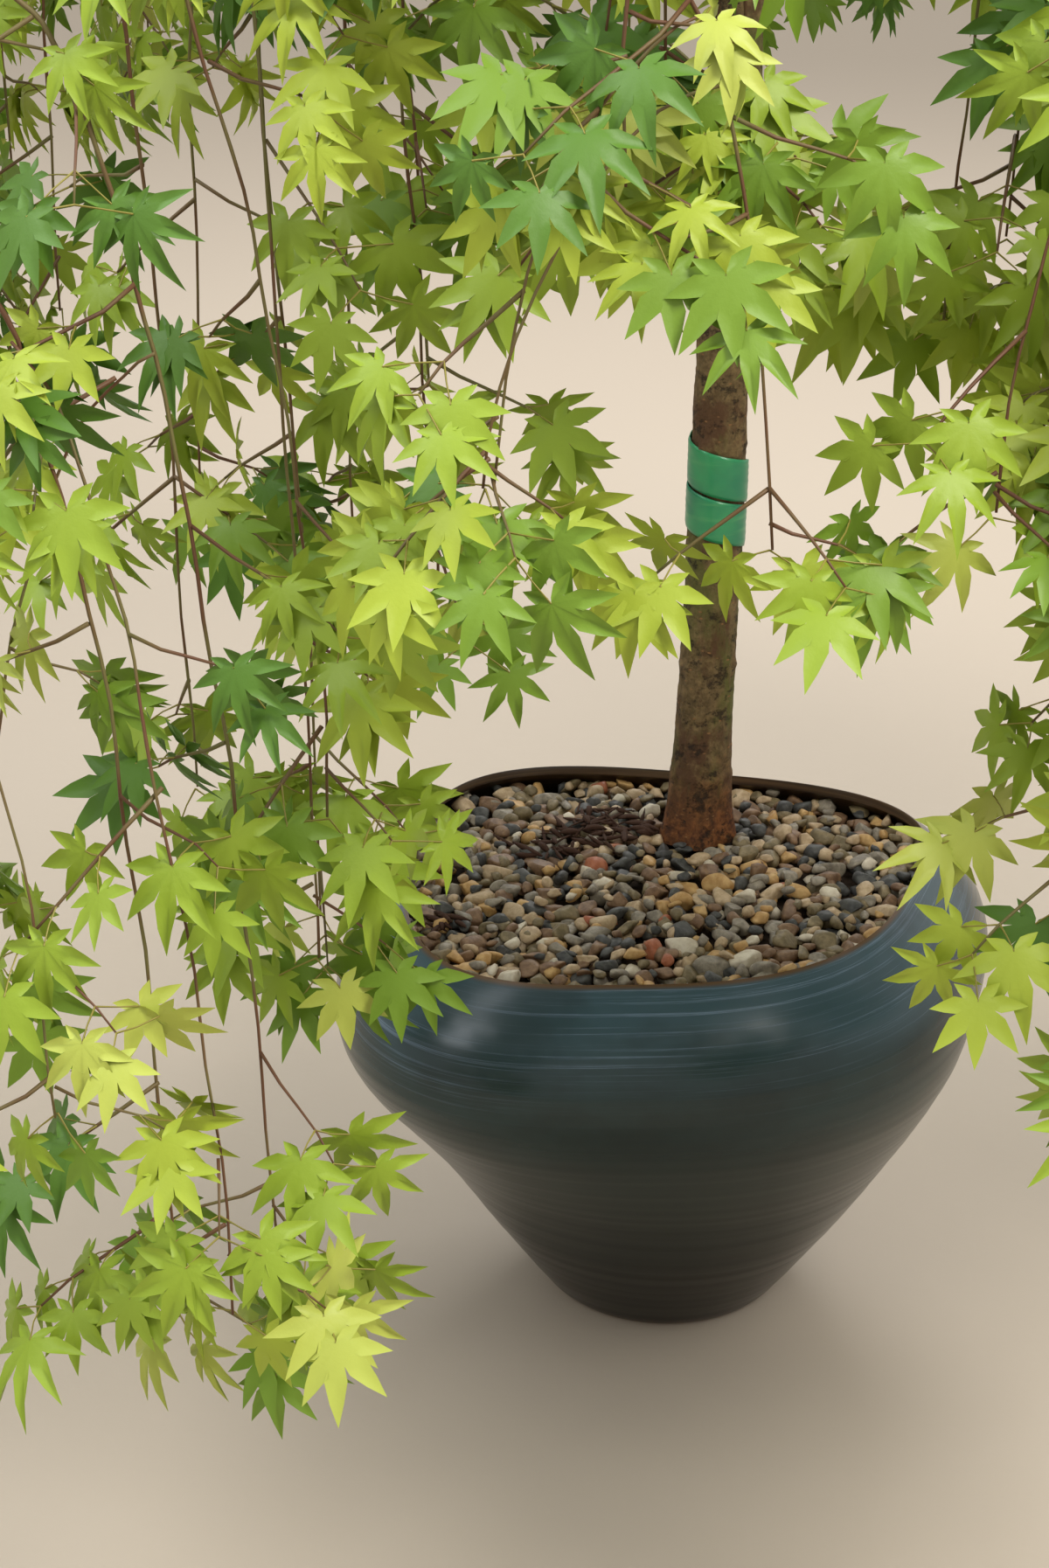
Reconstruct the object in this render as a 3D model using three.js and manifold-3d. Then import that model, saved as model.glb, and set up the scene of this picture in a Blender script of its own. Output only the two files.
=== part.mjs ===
// A young weeping Japanese maple in a thrown stoneware pot, in millimetres, +Z up.
// The origin is the centre of the pot's flat underside, and -Y is the front.
// The trunk rises from a bed of gravel and carries arching boughs.
// Each bough ends in one mass of foliage: a stem whose strands hang like a curtain, set with palmate leaves.
import * as THREE from "three";
import { mergeVertices } from "three/addons/utils/BufferGeometryUtils.js";
import Module from "manifold-3d";

const wasm = await Module();
wasm.setup();

const DEGREE = Math.PI / 180;
const FULL_TURN = 2 * Math.PI;
const UP = new THREE.Vector3(0, 0, 1);
const DOWN = new THREE.Vector3(0, 0, -1);

// A limb's sides are counted from about this direction. No limb starts out along it.
const FIRST_ACROSS = new THREE.Vector3(0.3, 0.9, 0.1);

// Clear space between pieces that touch.
const GAP = 0.3;
const MERGE_DISTANCE = 1e-4;

// Pot: a round foot and belly, drawn in to a mouth that was pressed into a soft four-cornered shape.
// The profile gives the mean radius at each height.
const POT_HEIGHT = 252;
const POT_WALL = 9;
const POT_FLOOR = 16;
const POT_SEGMENTS = 32;
const POT_PROFILE = [
  { height: 0, radius: 62 },
  { height: 4, radius: 66.5 },
  { height: 12, radius: 72.5 },
  { height: 50, radius: 99.6 },
  { height: 100, radius: 132.4 },
  { height: 140, radius: 160 },
  { height: 170, radius: 178 },
  { height: 198, radius: 184.5 },
  { height: 224, radius: 175 },
  { height: 240, radius: 160.5 },
  { height: 249, radius: 150 },
  { height: 252, radius: 146 },
];
const LIP_RADIUS = 146;
const LIP_THICKNESS = 7;
const LIP_BEVEL = 2.5;
const MOUTH_CORNERS = {
  frontLeft: [-145, -157],
  frontRight: [87, -151],
  backRight: [165, 88],
  backLeft: [-130, 150],
};
const MOUTH_POWER = 3;
const SQUARE_FROM = 67;
const SQUARE_FULL = 253;

// Fill of the pot: growing mix, and a layer of gravel on it that is mounded a little in the middle.
const SOIL_TOP = 224;
const GRAVEL_EDGE = 238;
const GRAVEL_MOUND = 3;
const GRAVEL_BUMP = 2.4;
const GRAVEL_RINGS = 6;
const GRAVEL_FLAT_RIM = 0.92;
const GRAVEL_SEED = 7;
const FILL_GAP = 0.4;

// Heights at which the pot's inner wall, and the fill against it, have their rings.
const INNER_HEIGHTS = [POT_FLOOR, 70, 140, 190, SOIL_TOP, GRAVEL_EDGE, 249];

// Trunk: centre and radius at each height, from a flat cut on the gravel to the tip. It leans and flares at the root.
const TRUNK_SEAT = 240;
const TRUNK_LINE = [
  { height: TRUNK_SEAT + GAP, x: 17, y: 56, radius: 21 },
  { height: 252, x: 17.5, y: 56, radius: 18.8 },
  { height: 285, x: 19, y: 56, radius: 16.4 },
  { height: 400, x: 23, y: 56, radius: 14.8 },
  { height: 520, x: 25.5, y: 55, radius: 14 },
  { height: 690, x: 28, y: 54, radius: 13 },
  { height: 820, x: 29, y: 56, radius: 12 },
  { height: 900, x: 27, y: 58, radius: 10.5 },
  { height: 1000, x: 24, y: 57, radius: 8.5 },
  { height: 1085, x: 27, y: 54, radius: 6 },
];
const TRUNK_SIDES = 12;
const SEAT_FLAT = 40;
const SEAT_BLEND = 56;

// Green tie tape: two turns, wound close round the trunk. It starts at the back and falls to the right at the front.
const TAPE_LOW = 402;
const TAPE_WIDTH = 23;
const TAPE_TURN_RISE = 24.5;
const TAPE_THICKNESS = 1.2;
const TAPE_TURNS = 2;
const TAPE_START = 90;
const TAPE_STEPS_PER_TURN = 12;

// Leaf: a blade of five pointed lobes round a hub. Length runs from the hub to the middle lobe's tip.
// It is larger than life, because each leaf stands for a small spray.
const LEAF_LENGTH = 78;
const LEAF_THICKNESS = 3;
const LEAF_STALK = 32;
const LEAF_LOBES = [
  { angle: -88, reach: 0.62 },
  { angle: -43, reach: 0.9 },
  { angle: 0, reach: 1 },
  { angle: 43, reach: 0.9 },
  { angle: 88, reach: 0.62 },
];
const LEAF_NOTCH_REACH = 0.34;
const LEAF_HEEL_REACH = 0.12;
const LEAF_HEEL_ANGLE = 146;
const LEAF_STALK_TURN = 50;
const LEAF_DROOP = 0.14;
const LEAF_APART = 58;
const LEAF_TRIES = 6;
const FIRST_LEAF = 0.1;
const LAST_LEAF = 0.985;
const LIMB_CLEARANCE = 12;
const SEEDS_PER_MASS = 100;

// How a leaf stands on its limb, as ranges that are drawn from. The stalk turns outward from the limb's side, in
// radians, and rises. The blade's direction and its face are sums of the stalk's, the outward and the up direction.
const STALK_TURN = [-0.5, 1.1];
const STALK_RISE = [-0.25, 0.35];
const STALK_SIZE = [0.8, 1.1];
const LEAF_SIZE = [0.85, 1.1];
const BLADE_ALONG_STALK = 0.55;
const BLADE_OUTWARD = 0.25;
const BLADE_DROP = [0.5, 1.2];
const FACE_OUTWARD = 0.7;
const FACE_UP = [0.4, 1];

// Boughs, in shares of the crest's reach and of the climb to it. The sway is in degrees.
const BOUGH_SIDES = 5;
const BOUGH_STEPS = 6;
const BOUGH_THINNER = 0.62;
const BOUGH_TIP_RADIUS = 4.6;
const BOUGH_SWAY = 4;
const BOUGH_CLIMB_OUT = 0.3;
const BOUGH_CLIMB_UP = 0.62;
const BOUGH_LEVEL = 0.4;

// Stems of the masses: the sway is a share of the sector, and the arch and fall are shares of the way to the tip.
const STEM_SIDES = 4;
const STEM_STEPS = 7;
const STEM_RADIUS = 4.3;
const STEM_TIP_RADIUS = 2.6;
const STEM_SWAY = 0.3;
const STEM_ARCH = 0.55;
const STEM_FALL = 0.55;

// Strands that hang from a stem. They leave it between two shares of its length, and are dealt out across the sector
// by the golden ratio. Inner strands end higher than outer ones by the inner lift.
const STRAND_SIDES = 3;
const STRAND_STEPS = 4;
const STRAND_THINNER = 0.58;
const STRAND_TIP_RADIUS = 1.5;
const STRAND_SPREAD = 0.72;
const STRAND_TRIES = 5;
const STRAND_FIRST = 0.1;
const STRAND_RUN = 0.82;
const STRAND_INNERMOST = 0.2;
const STRAND_SCATTER = 0.3;
const STRAND_SHORTEST = 20;
const REACH_SCATTER = 50;
const REACH_INWARD = 0.3;
const HEM_SCATTER = 50;
const STRAND_LIFT = 14;
const STRAND_LIFT_SHARE = 0.1;
const STRAND_SWING = 0.5;
const STRAND_TUCK = 0.08;
const STRAND_HANG = 0.6;
const INNER_LIFT = 230;
const GOLDEN = 0.618034;
const SAMPLE_STEPS = 24;

// Crown: hanging masses lie below a cone that falls outward from the crown's middle, and upper masses above it.
const CROWN_AXIS = { x: 25, y: 56 };
const SPLIT_HEIGHT = 1085;
const SPLIT_SLOPE = 0.3;
const SPACE_MARGIN = 2;
const CONE_MARGIN = 4;
const LOWEST_LEAF = 90;
const UPPER_DROOP_LOW = 12;
const UPPER_DROOP_RANGE = 55;

// Masses of foliage. sector is in degrees, with 270 at the front, and seed starts the random draws. The bough leaves
// the trunk at the height fork and ends at the crest, and the stem ends at the tip: both are a reach and a height.
// hem is the height that the strands hang down to at the sector's first side, its middle and its last side.
const HANGING_CREST = [245, 988];
const HANGING_STRANDS = 5;
const FULLER_STRANDS = 7;
const HANGING_LEAF_SPACING = 88;
const HANGING_MASSES = [
  {
    name: "front_left", sector: [226, 254], seed: 324, fork: 872, tip: [600, 470], hem: [340, 270, 120],
    strands: FULLER_STRANDS,
  },
  { name: "front", sector: [254, 272], seed: 407, fork: 905, tip: [500, 700], hem: [420, 670, 540] },
  {
    name: "front_right", sector: [272, 314], seed: 273, fork: 850, tip: [540, 540], hem: [380, 350, 400],
    strands: FULLER_STRANDS,
  },
  { name: "right", sector: [314, 360], seed: 41, fork: 890, tip: [590, 600], hem: [400, 415, 430] },
  { name: "back_right", sector: [0, 45], seed: 53, fork: 860, tip: [570, 690], hem: [450, 485, 520] },
  { name: "back", sector: [45, 90], seed: 67, fork: 900, tip: [560, 720], hem: [560, 580, 600] },
  { name: "back_left", sector: [90, 135], seed: 71, fork: 865, tip: [555, 710], hem: [600, 560, 520] },
  { name: "left", sector: [135, 180], seed: 83, fork: 895, tip: [590, 630], hem: [480, 450, 420] },
  { name: "left_front", sector: [180, 226], seed: 97, fork: 834, tip: [590, 560], hem: [400, 380, 360] },
];
const UPPER_CREST = [75, 1122];
const UPPER_STRANDS = 6;
const UPPER_LEAF_SPACING = 48;
const UPPER_MASSES = [
  { name: "upper_front", sector: [225, 315], seed: 103, fork: 985, tip: [440, 1040] },
  { name: "upper_right", sector: [315, 405], seed: 114, fork: 1030, tip: [450, 1030] },
  { name: "upper_back", sector: [45, 135], seed: 127, fork: 1000, tip: [440, 1035] },
  { name: "upper_left", sector: [135, 225], seed: 139, fork: 1045, tip: [450, 1040] },
];
const HANGING = { crest: HANGING_CREST, strands: HANGING_STRANDS, spacing: HANGING_LEAF_SPACING, upper: false };
const UPPER = { crest: UPPER_CREST, strands: UPPER_STRANDS, spacing: UPPER_LEAF_SPACING, upper: true };
const MASSES = [
  ...HANGING_MASSES.map((mass) => ({ ...HANGING, ...mass })),
  ...UPPER_MASSES.map((mass) => ({ ...UPPER, ...mass })),
];

const COLOURS = {
  pot: { color: 0x3d4f55, roughness: 0.35, metalness: 0 },
  soil: { color: 0x2e2018, roughness: 0.95, metalness: 0 },
  gravel: { color: 0x7d7264, roughness: 0.8, metalness: 0 },
  bark: { color: 0x6b4f38, roughness: 0.85, metalness: 0 },
  tape: { color: 0x2f8f5f, roughness: 0.45, metalness: 0 },
  leaf: { color: 0x86a91f, roughness: 0.55, metalness: 0 },
};

// Random numbers from 0 to 1, the same every time for one seed.
function seededDraws(seed) {
  let state = seed >>> 0;
  return () => {
    state = (state + 0x6d2b79f5) >>> 0;
    let mixed = Math.imul(state ^ (state >>> 15), state | 1);
    mixed ^= mixed + Math.imul(mixed ^ (mixed >>> 7), mixed | 61);
    return ((mixed ^ (mixed >>> 14)) >>> 0) / 4294967296;
  };
}

function mix(a, b, share) {
  return a + (b - a) * share;
}

function smoothStep(low, high, value) {
  const share = Math.min(Math.max((value - low) / (high - low), 0), 1);
  return share * share * (3 - 2 * share);
}

// Value of a key in a table sorted by height, read off between its rows.
function between(table, key, height) {
  const above = table.findIndex((row) => row.height >= height);
  if (above === -1) return table[table.length - 1][key];
  if (above === 0) return table[0][key];
  const low = table[above - 1];
  const high = table[above];
  return mix(low[key], high[key], (height - low.height) / (high.height - low.height));
}

// Leaves only the positions, with shared corners merged, and drops triangles that have no area on the axis.
function mergedShape(geometry) {
  const shape = geometry.clone();
  for (const name of Object.keys(shape.attributes)) {
    if (name !== "position") shape.deleteAttribute(name);
  }
  const merged = mergeVertices(shape, MERGE_DISTANCE);
  const corners = [];
  const index = merged.index.array;
  for (let i = 0; i < index.length; i += 3) {
    const [a, b, c] = index.slice(i, i + 3);
    if (a !== b && b !== c && c !== a) corners.push(a, b, c);
  }
  merged.setIndex(corners);
  return merged;
}

function signedVolume(shape) {
  const [a, b, c] = [new THREE.Vector3(), new THREE.Vector3(), new THREE.Vector3()];
  const { position } = shape.attributes;
  const index = shape.index.array;
  let volume = 0;
  for (let i = 0; i < index.length; i += 3) {
    a.fromBufferAttribute(position, index[i]);
    b.fromBufferAttribute(position, index[i + 1]);
    c.fromBufferAttribute(position, index[i + 2]);
    volume += a.dot(b.cross(c)) / 6;
  }
  return volume;
}

// A closed geometry as a solid that can be joined and cut, with its faces turned outward.
function toSolid(geometry) {
  const shape = mergedShape(geometry);
  const corners = Array.from(shape.index.array);
  if (signedVolume(shape) < 0) corners.reverse();
  const vertProperties = new Float32Array(shape.attributes.position.array);
  const triVerts = new Uint32Array(corners);
  return new wasm.Manifold(new wasm.Mesh({ numProp: 3, vertProperties, triVerts }));
}

function toMesh(name, solid, colour) {
  const { vertProperties, triVerts } = solid.getMesh();
  const geometry = new THREE.BufferGeometry();
  geometry.setAttribute("position", new THREE.BufferAttribute(new Float32Array(vertProperties), 3));
  geometry.setIndex(new THREE.BufferAttribute(new Uint32Array(triVerts), 1));
  geometry.computeVertexNormals();
  const mesh = new THREE.Mesh(geometry, new THREE.MeshStandardMaterial({ ...colour, flatShading: true }));
  mesh.name = name;
  return mesh;
}

// Moves each corner of a geometry to the place that the rule gives for it.
function bend(geometry, rule) {
  const { position } = geometry.attributes;
  const corner = new THREE.Vector3();
  for (let i = 0; i < position.count; i += 1) {
    corner.fromBufferAttribute(position, i);
    const moved = rule(corner);
    position.setXYZ(i, moved.x, moved.y, moved.z);
  }
  return geometry;
}

// Place on the lip's outer edge in the direction of an angle: a soft square laid into the mouth's four corners.
function mouthPoint(angle) {
  const ease = 2 / MOUTH_POWER;
  const u = Math.sign(Math.cos(angle)) * Math.abs(Math.cos(angle)) ** ease;
  const v = Math.sign(Math.sin(angle)) * Math.abs(Math.sin(angle)) ** ease;
  const { frontLeft, frontRight, backRight, backLeft } = MOUTH_CORNERS;
  const along = (axis) => {
    const front = mix(frontLeft[axis], frontRight[axis], (1 + u) / 2);
    const back = mix(backLeft[axis], backRight[axis], (1 + u) / 2);
    return mix(front, back, (1 + v) / 2);
  };
  return { x: along(0), y: along(1) };
}

// Place on the pot at an angle, for a mean radius and a height: round at the foot and squarer toward the mouth.
function potPoint(angle, radius, height) {
  const square = smoothStep(SQUARE_FROM, SQUARE_FULL, height);
  const mouth = mouthPoint(angle);
  const x = radius * mix(Math.cos(angle), mouth.x / LIP_RADIUS, square);
  const y = radius * mix(Math.sin(angle), mouth.y / LIP_RADIUS, square);
  return new THREE.Vector3(x, y, height);
}

function potRadius(height) {
  return between(POT_PROFILE, "radius", height);
}

// Turns a profile of radius and height on the pot's axis.
function turned(profile) {
  const points = profile.map(([radius, height]) => new THREE.Vector2(radius, height));
  return mergedShape(new THREE.LatheGeometry(points, POT_SEGMENTS));
}

// Presses a turned shape as the pot is pressed.
function pressed(shape) {
  return bend(shape, ({ x, y, z }) => potPoint(Math.atan2(x, z), Math.hypot(x, z), y));
}

function innerRadius(height) {
  const rim = mix(POT_WALL, LIP_THICKNESS, smoothStep(SOIL_TOP, POT_HEIGHT, height));
  return potRadius(height) - rim;
}

function makePot() {
  const outside = POT_PROFILE.map(({ height, radius }) => [radius, height]);
  const lipTop = [LIP_RADIUS - LIP_THICKNESS + LIP_BEVEL, POT_HEIGHT];
  const inside = INNER_HEIGHTS.map((height) => [innerRadius(height), height]).reverse();
  const profile = [[0, 0], ...outside, lipTop, ...inside, [0, POT_FLOOR]];
  return toSolid(pressed(turned(profile)));
}

function makeSoil() {
  const heights = INNER_HEIGHTS.filter((height) => height > POT_FLOOR && height <= SOIL_TOP);
  const base = POT_FLOOR + GAP;
  const wall = heights.map((height) => [innerRadius(height) - FILL_GAP, height]).reverse();
  const profile = [[0, SOIL_TOP], ...wall, [innerRadius(POT_FLOOR) - FILL_GAP, base], [0, base]];
  return toSolid(pressed(turned(profile)));
}

// Gravel: its top is set in rings of small bumps, and is flat where the trunk stands.
function makeGravel() {
  const base = SOIL_TOP + GAP;
  const edge = innerRadius(GRAVEL_EDGE) - FILL_GAP;
  const rings = [];
  for (let ring = 1; ring <= GRAVEL_RINGS; ring += 1) {
    rings.push([edge * (1 - ring / GRAVEL_RINGS), GRAVEL_EDGE]);
  }
  const profile = [[0, base], [innerRadius(SOIL_TOP) - FILL_GAP, base], [edge, GRAVEL_EDGE], ...rings];
  const draw = seededDraws(GRAVEL_SEED);
  const trunkFoot = TRUNK_LINE[0];
  const bed = bend(turned(profile), ({ x, y, z }) => {
    const bump = mix(-GRAVEL_BUMP, GRAVEL_BUMP, draw());
    const outward = Math.hypot(x, z) / edge;
    const place = potPoint(Math.atan2(x, z), outward * edge, y);
    if (y < GRAVEL_EDGE || outward > GRAVEL_FLAT_RIM) return place;
    const fromTrunk = Math.hypot(place.x - trunkFoot.x, place.y - trunkFoot.y);
    const mound = GRAVEL_EDGE + GRAVEL_MOUND * (1 - outward * outward) + bump;
    place.z = mix(TRUNK_SEAT, mound, smoothStep(SEAT_FLAT, SEAT_BLEND, fromTrunk));
    return place;
  });
  return toSolid(bed);
}

function trunkCentre(height) {
  const x = between(TRUNK_LINE, "x", height);
  const y = between(TRUNK_LINE, "y", height);
  return new THREE.Vector3(x, y, height);
}

// The trunk, with its radius grown by a clearance where it is used to cut its neighbours.
function makeTrunk(clearance = 0) {
  const levels = TRUNK_LINE.length - 1;
  const post = new THREE.CylinderGeometry(1, 1, 1, TRUNK_SIDES, levels);
  bend(post, ({ x, y, z }) => {
    const row = TRUNK_LINE[Math.round((y + 0.5) * levels)];
    const radius = row.radius + clearance;
    return new THREE.Vector3(row.x + z * radius, row.y + x * radius, row.height);
  });
  return toSolid(post);
}

// The tape is a flat strip that is wound round the trunk as a screw line.
function makeTape() {
  const steps = TAPE_TURNS * TAPE_STEPS_PER_TURN;
  const strip = new THREE.BoxGeometry(1, 1, 1, steps, 1, 1);
  const flatToCorner = 1 / Math.cos(Math.PI / TAPE_STEPS_PER_TURN);
  bend(strip, ({ x, y, z }) => {
    const wound = x + 0.5;
    const angle = TAPE_START * DEGREE - wound * TAPE_TURNS * FULL_TURN;
    const height = TAPE_LOW + wound * TAPE_TURNS * TAPE_TURN_RISE + (z + 0.5) * TAPE_WIDTH;
    const inside = (between(TRUNK_LINE, "radius", TAPE_LOW) + GAP) * flatToCorner;
    const radius = inside + (y + 0.5) * TAPE_THICKNESS;
    const centre = trunkCentre(height);
    return new THREE.Vector3(centre.x + radius * Math.cos(angle), centre.y + radius * Math.sin(angle), height);
  });
  return toSolid(strip);
}

// Place at an angle, a reach from the crown's axis and a height.
function crownPoint(degrees, reach, height) {
  const x = CROWN_AXIS.x + reach * Math.cos(degrees * DEGREE);
  const y = CROWN_AXIS.y + reach * Math.sin(degrees * DEGREE);
  return new THREE.Vector3(x, y, height);
}

function outwardAt(point) {
  return new THREE.Vector3(point.x - CROWN_AXIS.x, point.y - CROWN_AXIS.y, 0).normalize();
}

function offset(point, direction, distance) {
  return point.clone().addScaledVector(direction, distance);
}

// A limb tapers evenly along a curve that is cut into straight steps.
function makeLimb(start, startHandle, endHandle, end, steps, radius, tipRadius) {
  const curve = new THREE.CubicBezierCurve3(start, startHandle, endHandle, end);
  return { points: curve.getPoints(steps), radius, tipRadius };
}

// Place and radius at a share of the way along a limb.
function onLimb({ points, radius, tipRadius }, share) {
  const along = share * (points.length - 1);
  const step = Math.min(Math.floor(along), points.length - 2);
  const point = points[step].clone().lerp(points[step + 1], along - step);
  return { point, radius: mix(radius, tipRadius, share) };
}

function limbLength({ points }) {
  return points.slice(1).reduce((length, point, i) => length + point.distanceTo(points[i]), 0);
}

// Two directions across a limb at each of its points, carried along it without twist. The first pair is square to
// the direction in which the limb leaves its carrier, where that is given.
function acrossLimb({ points, leaving }) {
  const last = points.length - 1;
  let normal = FIRST_ACROSS;
  return points.map((_, i) => {
    const ahead = points[Math.min(i + 1, last)].clone().sub(points[Math.max(i - 1, 0)]).normalize();
    const tangent = i === 0 && leaving ? leaving : ahead;
    normal = offset(normal, tangent, -normal.dot(tangent)).normalize();
    return { normal, binormal: tangent.clone().cross(normal) };
  });
}

// A closed cylinder bent along a limb.
function limbSolid(limb, sides) {
  const steps = limb.points.length - 1;
  const tube = new THREE.CylinderGeometry(1, 1, 1, sides, steps);
  const frames = acrossLimb(limb);
  bend(tube, ({ x, y, z }) => {
    const step = Math.round((y + 0.5) * steps);
    const { point, radius } = onLimb(limb, step / steps);
    const { normal, binormal } = frames[step];
    return point.addScaledVector(normal, x * radius).addScaledVector(binormal, z * radius);
  });
  return toSolid(tube);
}

// Bough: leaves the trunk steeply, and is level where it ends at the crest.
function growBough(mass, draw) {
  const middle = mix(mass.sector[0], mass.sector[1], 0.5);
  const end = crownPoint(middle + (draw() - 0.5) * BOUGH_SWAY, mass.crest[0], mass.crest[1]);
  const start = trunkCentre(mass.fork);
  const outward = outwardAt(end);
  const climbOut = offset(start, outward, mass.crest[0] * BOUGH_CLIMB_OUT);
  const climb = offset(climbOut, UP, (end.z - start.z) * BOUGH_CLIMB_UP);
  const level = offset(end, outward, -mass.crest[0] * BOUGH_LEVEL);
  const radius = between(TRUNK_LINE, "radius", mass.fork) * BOUGH_THINNER;
  return makeLimb(start, climb, level, end, BOUGH_STEPS, radius, BOUGH_TIP_RADIUS);
}

// Stem: goes on from the bough's tip, arches over and falls to the mass's tip.
function growStem(mass, bough, draw) {
  const middle = mix(mass.sector[0], mass.sector[1], 0.5 + (draw() - 0.5) * STEM_SWAY);
  const end = crownPoint(middle, mass.tip[0], mass.tip[1]);
  const crest = bough.points[BOUGH_STEPS];
  const along = crest.clone().sub(bough.points[BOUGH_STEPS - 1]).normalize();
  const start = offset(crest, along, GAP);
  const over = offset(start, along, (mass.tip[0] - mass.crest[0]) * STEM_ARCH);
  const turn = offset(end, UP, (start.z - end.z) * STEM_FALL);
  const stem = makeLimb(start, over, turn, end, STEM_STEPS, STEM_RADIUS, STEM_TIP_RADIUS);
  return { ...stem, leaving: along };
}

// Strand number k: leaves the stem part way along, swings out and hangs to its hem. Outer strands hang lowest.
function growStrand(mass, stem, k, draw) {
  const order = (k + 0.5) / mass.strands;
  const across = (0.5 + k * GOLDEN + (draw() - 0.5) * STRAND_SCATTER) % 1;
  const degrees = mix(mass.sector[0], mass.sector[1], 0.5 + (across - 0.5) * STRAND_SPREAD);
  const placed = mix(mass.crest[0], mass.tip[0], mix(STRAND_INNERMOST, 1, order));
  const reach = placed + (draw() - REACH_INWARD) * REACH_SCATTER;
  const loose = draw();
  const { point: start, radius } = onLimb(stem, STRAND_FIRST + STRAND_RUN * order);
  const low = mass.upper ? upperHem(reach, loose) : hangingHem(mass, across, order, loose);
  const end = crownPoint(degrees, reach, Math.min(low, start.z - STRAND_SHORTEST));
  const drop = start.z - end.z;
  const swing = new THREE.Vector3(end.x - start.x, end.y - start.y, 0);
  const over = offset(offset(start, swing, STRAND_SWING), UP, Math.min(STRAND_LIFT, drop * STRAND_LIFT_SHARE));
  const hang = offset(offset(end, swing, -STRAND_TUCK), UP, drop * STRAND_HANG);
  return makeLimb(start, over, hang, end, STRAND_STEPS, radius * STRAND_THINNER, STRAND_TIP_RADIUS);
}

// Height that an upper mass's strand ends at: a little above the cone that parts the crown.
function upperHem(reach, loose) {
  return SPLIT_HEIGHT - SPLIT_SLOPE * reach + UPPER_DROOP_LOW + loose * UPPER_DROOP_RANGE;
}

// Height that a hanging mass's strand ends at.
function hangingHem(mass, across, order, loose) {
  const [first, middle, last] = mass.hem;
  const hem = across < 0.5 ? mix(first, middle, 2 * across) : mix(middle, last, 2 * across - 1);
  return hem + INNER_LIFT * (1 - order) + (loose - 0.5) * HEM_SCATTER;
}

// True where a point keeps to the mass's own sector and to its side of the cone.
function insideSpace(mass, point) {
  const x = point.x - CROWN_AXIS.x;
  const y = point.y - CROWN_AXIS.y;
  const [from, to] = mass.sector.map((degrees) => degrees * DEGREE);
  const pastFrom = y * Math.cos(from) - x * Math.sin(from);
  const beforeTo = x * Math.sin(to) - y * Math.cos(to);
  if (Math.min(pastFrom, beforeTo) < SPACE_MARGIN) return false;
  const aboveCone = point.z + SPLIT_SLOPE * Math.hypot(x, y) - SPLIT_HEIGHT;
  if (mass.upper) return aboveCone > CONE_MARGIN;
  return aboveCone < -CONE_MARGIN && point.z > LOWEST_LEAF;
}

// Points along a limb with its radius there, for keeping twigs and leaves clear of it.
function limbSamples(limb) {
  return Array.from({ length: SAMPLE_STEPS + 1 }, (_, i) => onLimb(limb, i / SAMPLE_STEPS));
}

function clearOfLimbs(point, samples) {
  return samples.every((sample) => point.distanceTo(sample.point) > sample.radius + LIMB_CLEARANCE);
}

// Corners of a leaf: its hub's top and underside, then the outline from the stalk's root round the five lobes. There
// is no leaf where the stalk doesn't come in from behind the blade.
function leafCorners(root, hub, along, face, length) {
  const across = new THREE.Vector3().crossVectors(along, face);
  const stalk = hub.clone().sub(root);
  const turn = Math.atan2(stalk.dot(across), stalk.dot(along)) / DEGREE;
  if (Math.abs(turn) > LEAF_STALK_TURN) return null;
  const onBlade = (degrees, reach) => {
    const forward = offset(hub, along, length * reach * Math.cos(degrees * DEGREE));
    const aside = offset(forward, across, length * reach * Math.sin(degrees * DEGREE));
    return offset(aside, face, -length * LEAF_DROOP * reach);
  };
  const outline = [root, onBlade(turn - LEAF_HEEL_ANGLE, LEAF_HEEL_REACH)];
  LEAF_LOBES.forEach(({ angle, reach }, lobe) => {
    if (lobe > 0) outline.push(onBlade((LEAF_LOBES[lobe - 1].angle + angle) / 2, LEAF_NOTCH_REACH));
    outline.push(onBlade(angle, reach));
  });
  outline.push(onBlade(turn + LEAF_HEEL_ANGLE, LEAF_HEEL_REACH));
  const half = LEAF_THICKNESS / 2;
  return [offset(hub, face, half), offset(hub, face, -half), ...outline];
}

// A leaf is thickest at the hub and thins to its outline on both sides.
function leafSolid(corners) {
  const index = [];
  const [top, under] = [0, 1];
  const outline = corners.map((_, corner) => corner).slice(2);
  outline.forEach((corner, i) => {
    const next = outline[(i + 1) % outline.length];
    index.push(top, corner, next, under, next, corner);
  });
  const geometry = new THREE.BufferGeometry().setFromPoints(corners);
  geometry.setIndex(index);
  return toSolid(geometry);
}

// A leaf on a limb at a place along it. Its stalk stands out to one side, and the blade hangs and faces outward.
function placeLeaf(limb, along, side, draw) {
  const { point } = onLimb(limb, along);
  const outward = outwardAt(point);
  const aside = new THREE.Vector3().crossVectors(UP, outward).multiplyScalar(side);
  const turn = mix(...STALK_TURN, draw());
  const stalk = aside.multiplyScalar(Math.cos(turn)).addScaledVector(outward, Math.sin(turn));
  stalk.addScaledVector(UP, mix(...STALK_RISE, draw())).normalize();
  const hub = offset(point, stalk, LEAF_STALK * mix(...STALK_SIZE, draw()));
  const blade = stalk.clone().multiplyScalar(BLADE_ALONG_STALK).addScaledVector(outward, BLADE_OUTWARD);
  blade.addScaledVector(DOWN, mix(...BLADE_DROP, draw())).normalize();
  const face = outward.clone().multiplyScalar(FACE_OUTWARD).addScaledVector(UP, mix(...FACE_UP, draw()));
  face.addScaledVector(blade, -face.dot(blade)).normalize();
  const length = LEAF_LENGTH * mix(...LEAF_SIZE, draw());
  return { hub, corners: leafCorners(point, hub, blade, face, length) };
}

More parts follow.
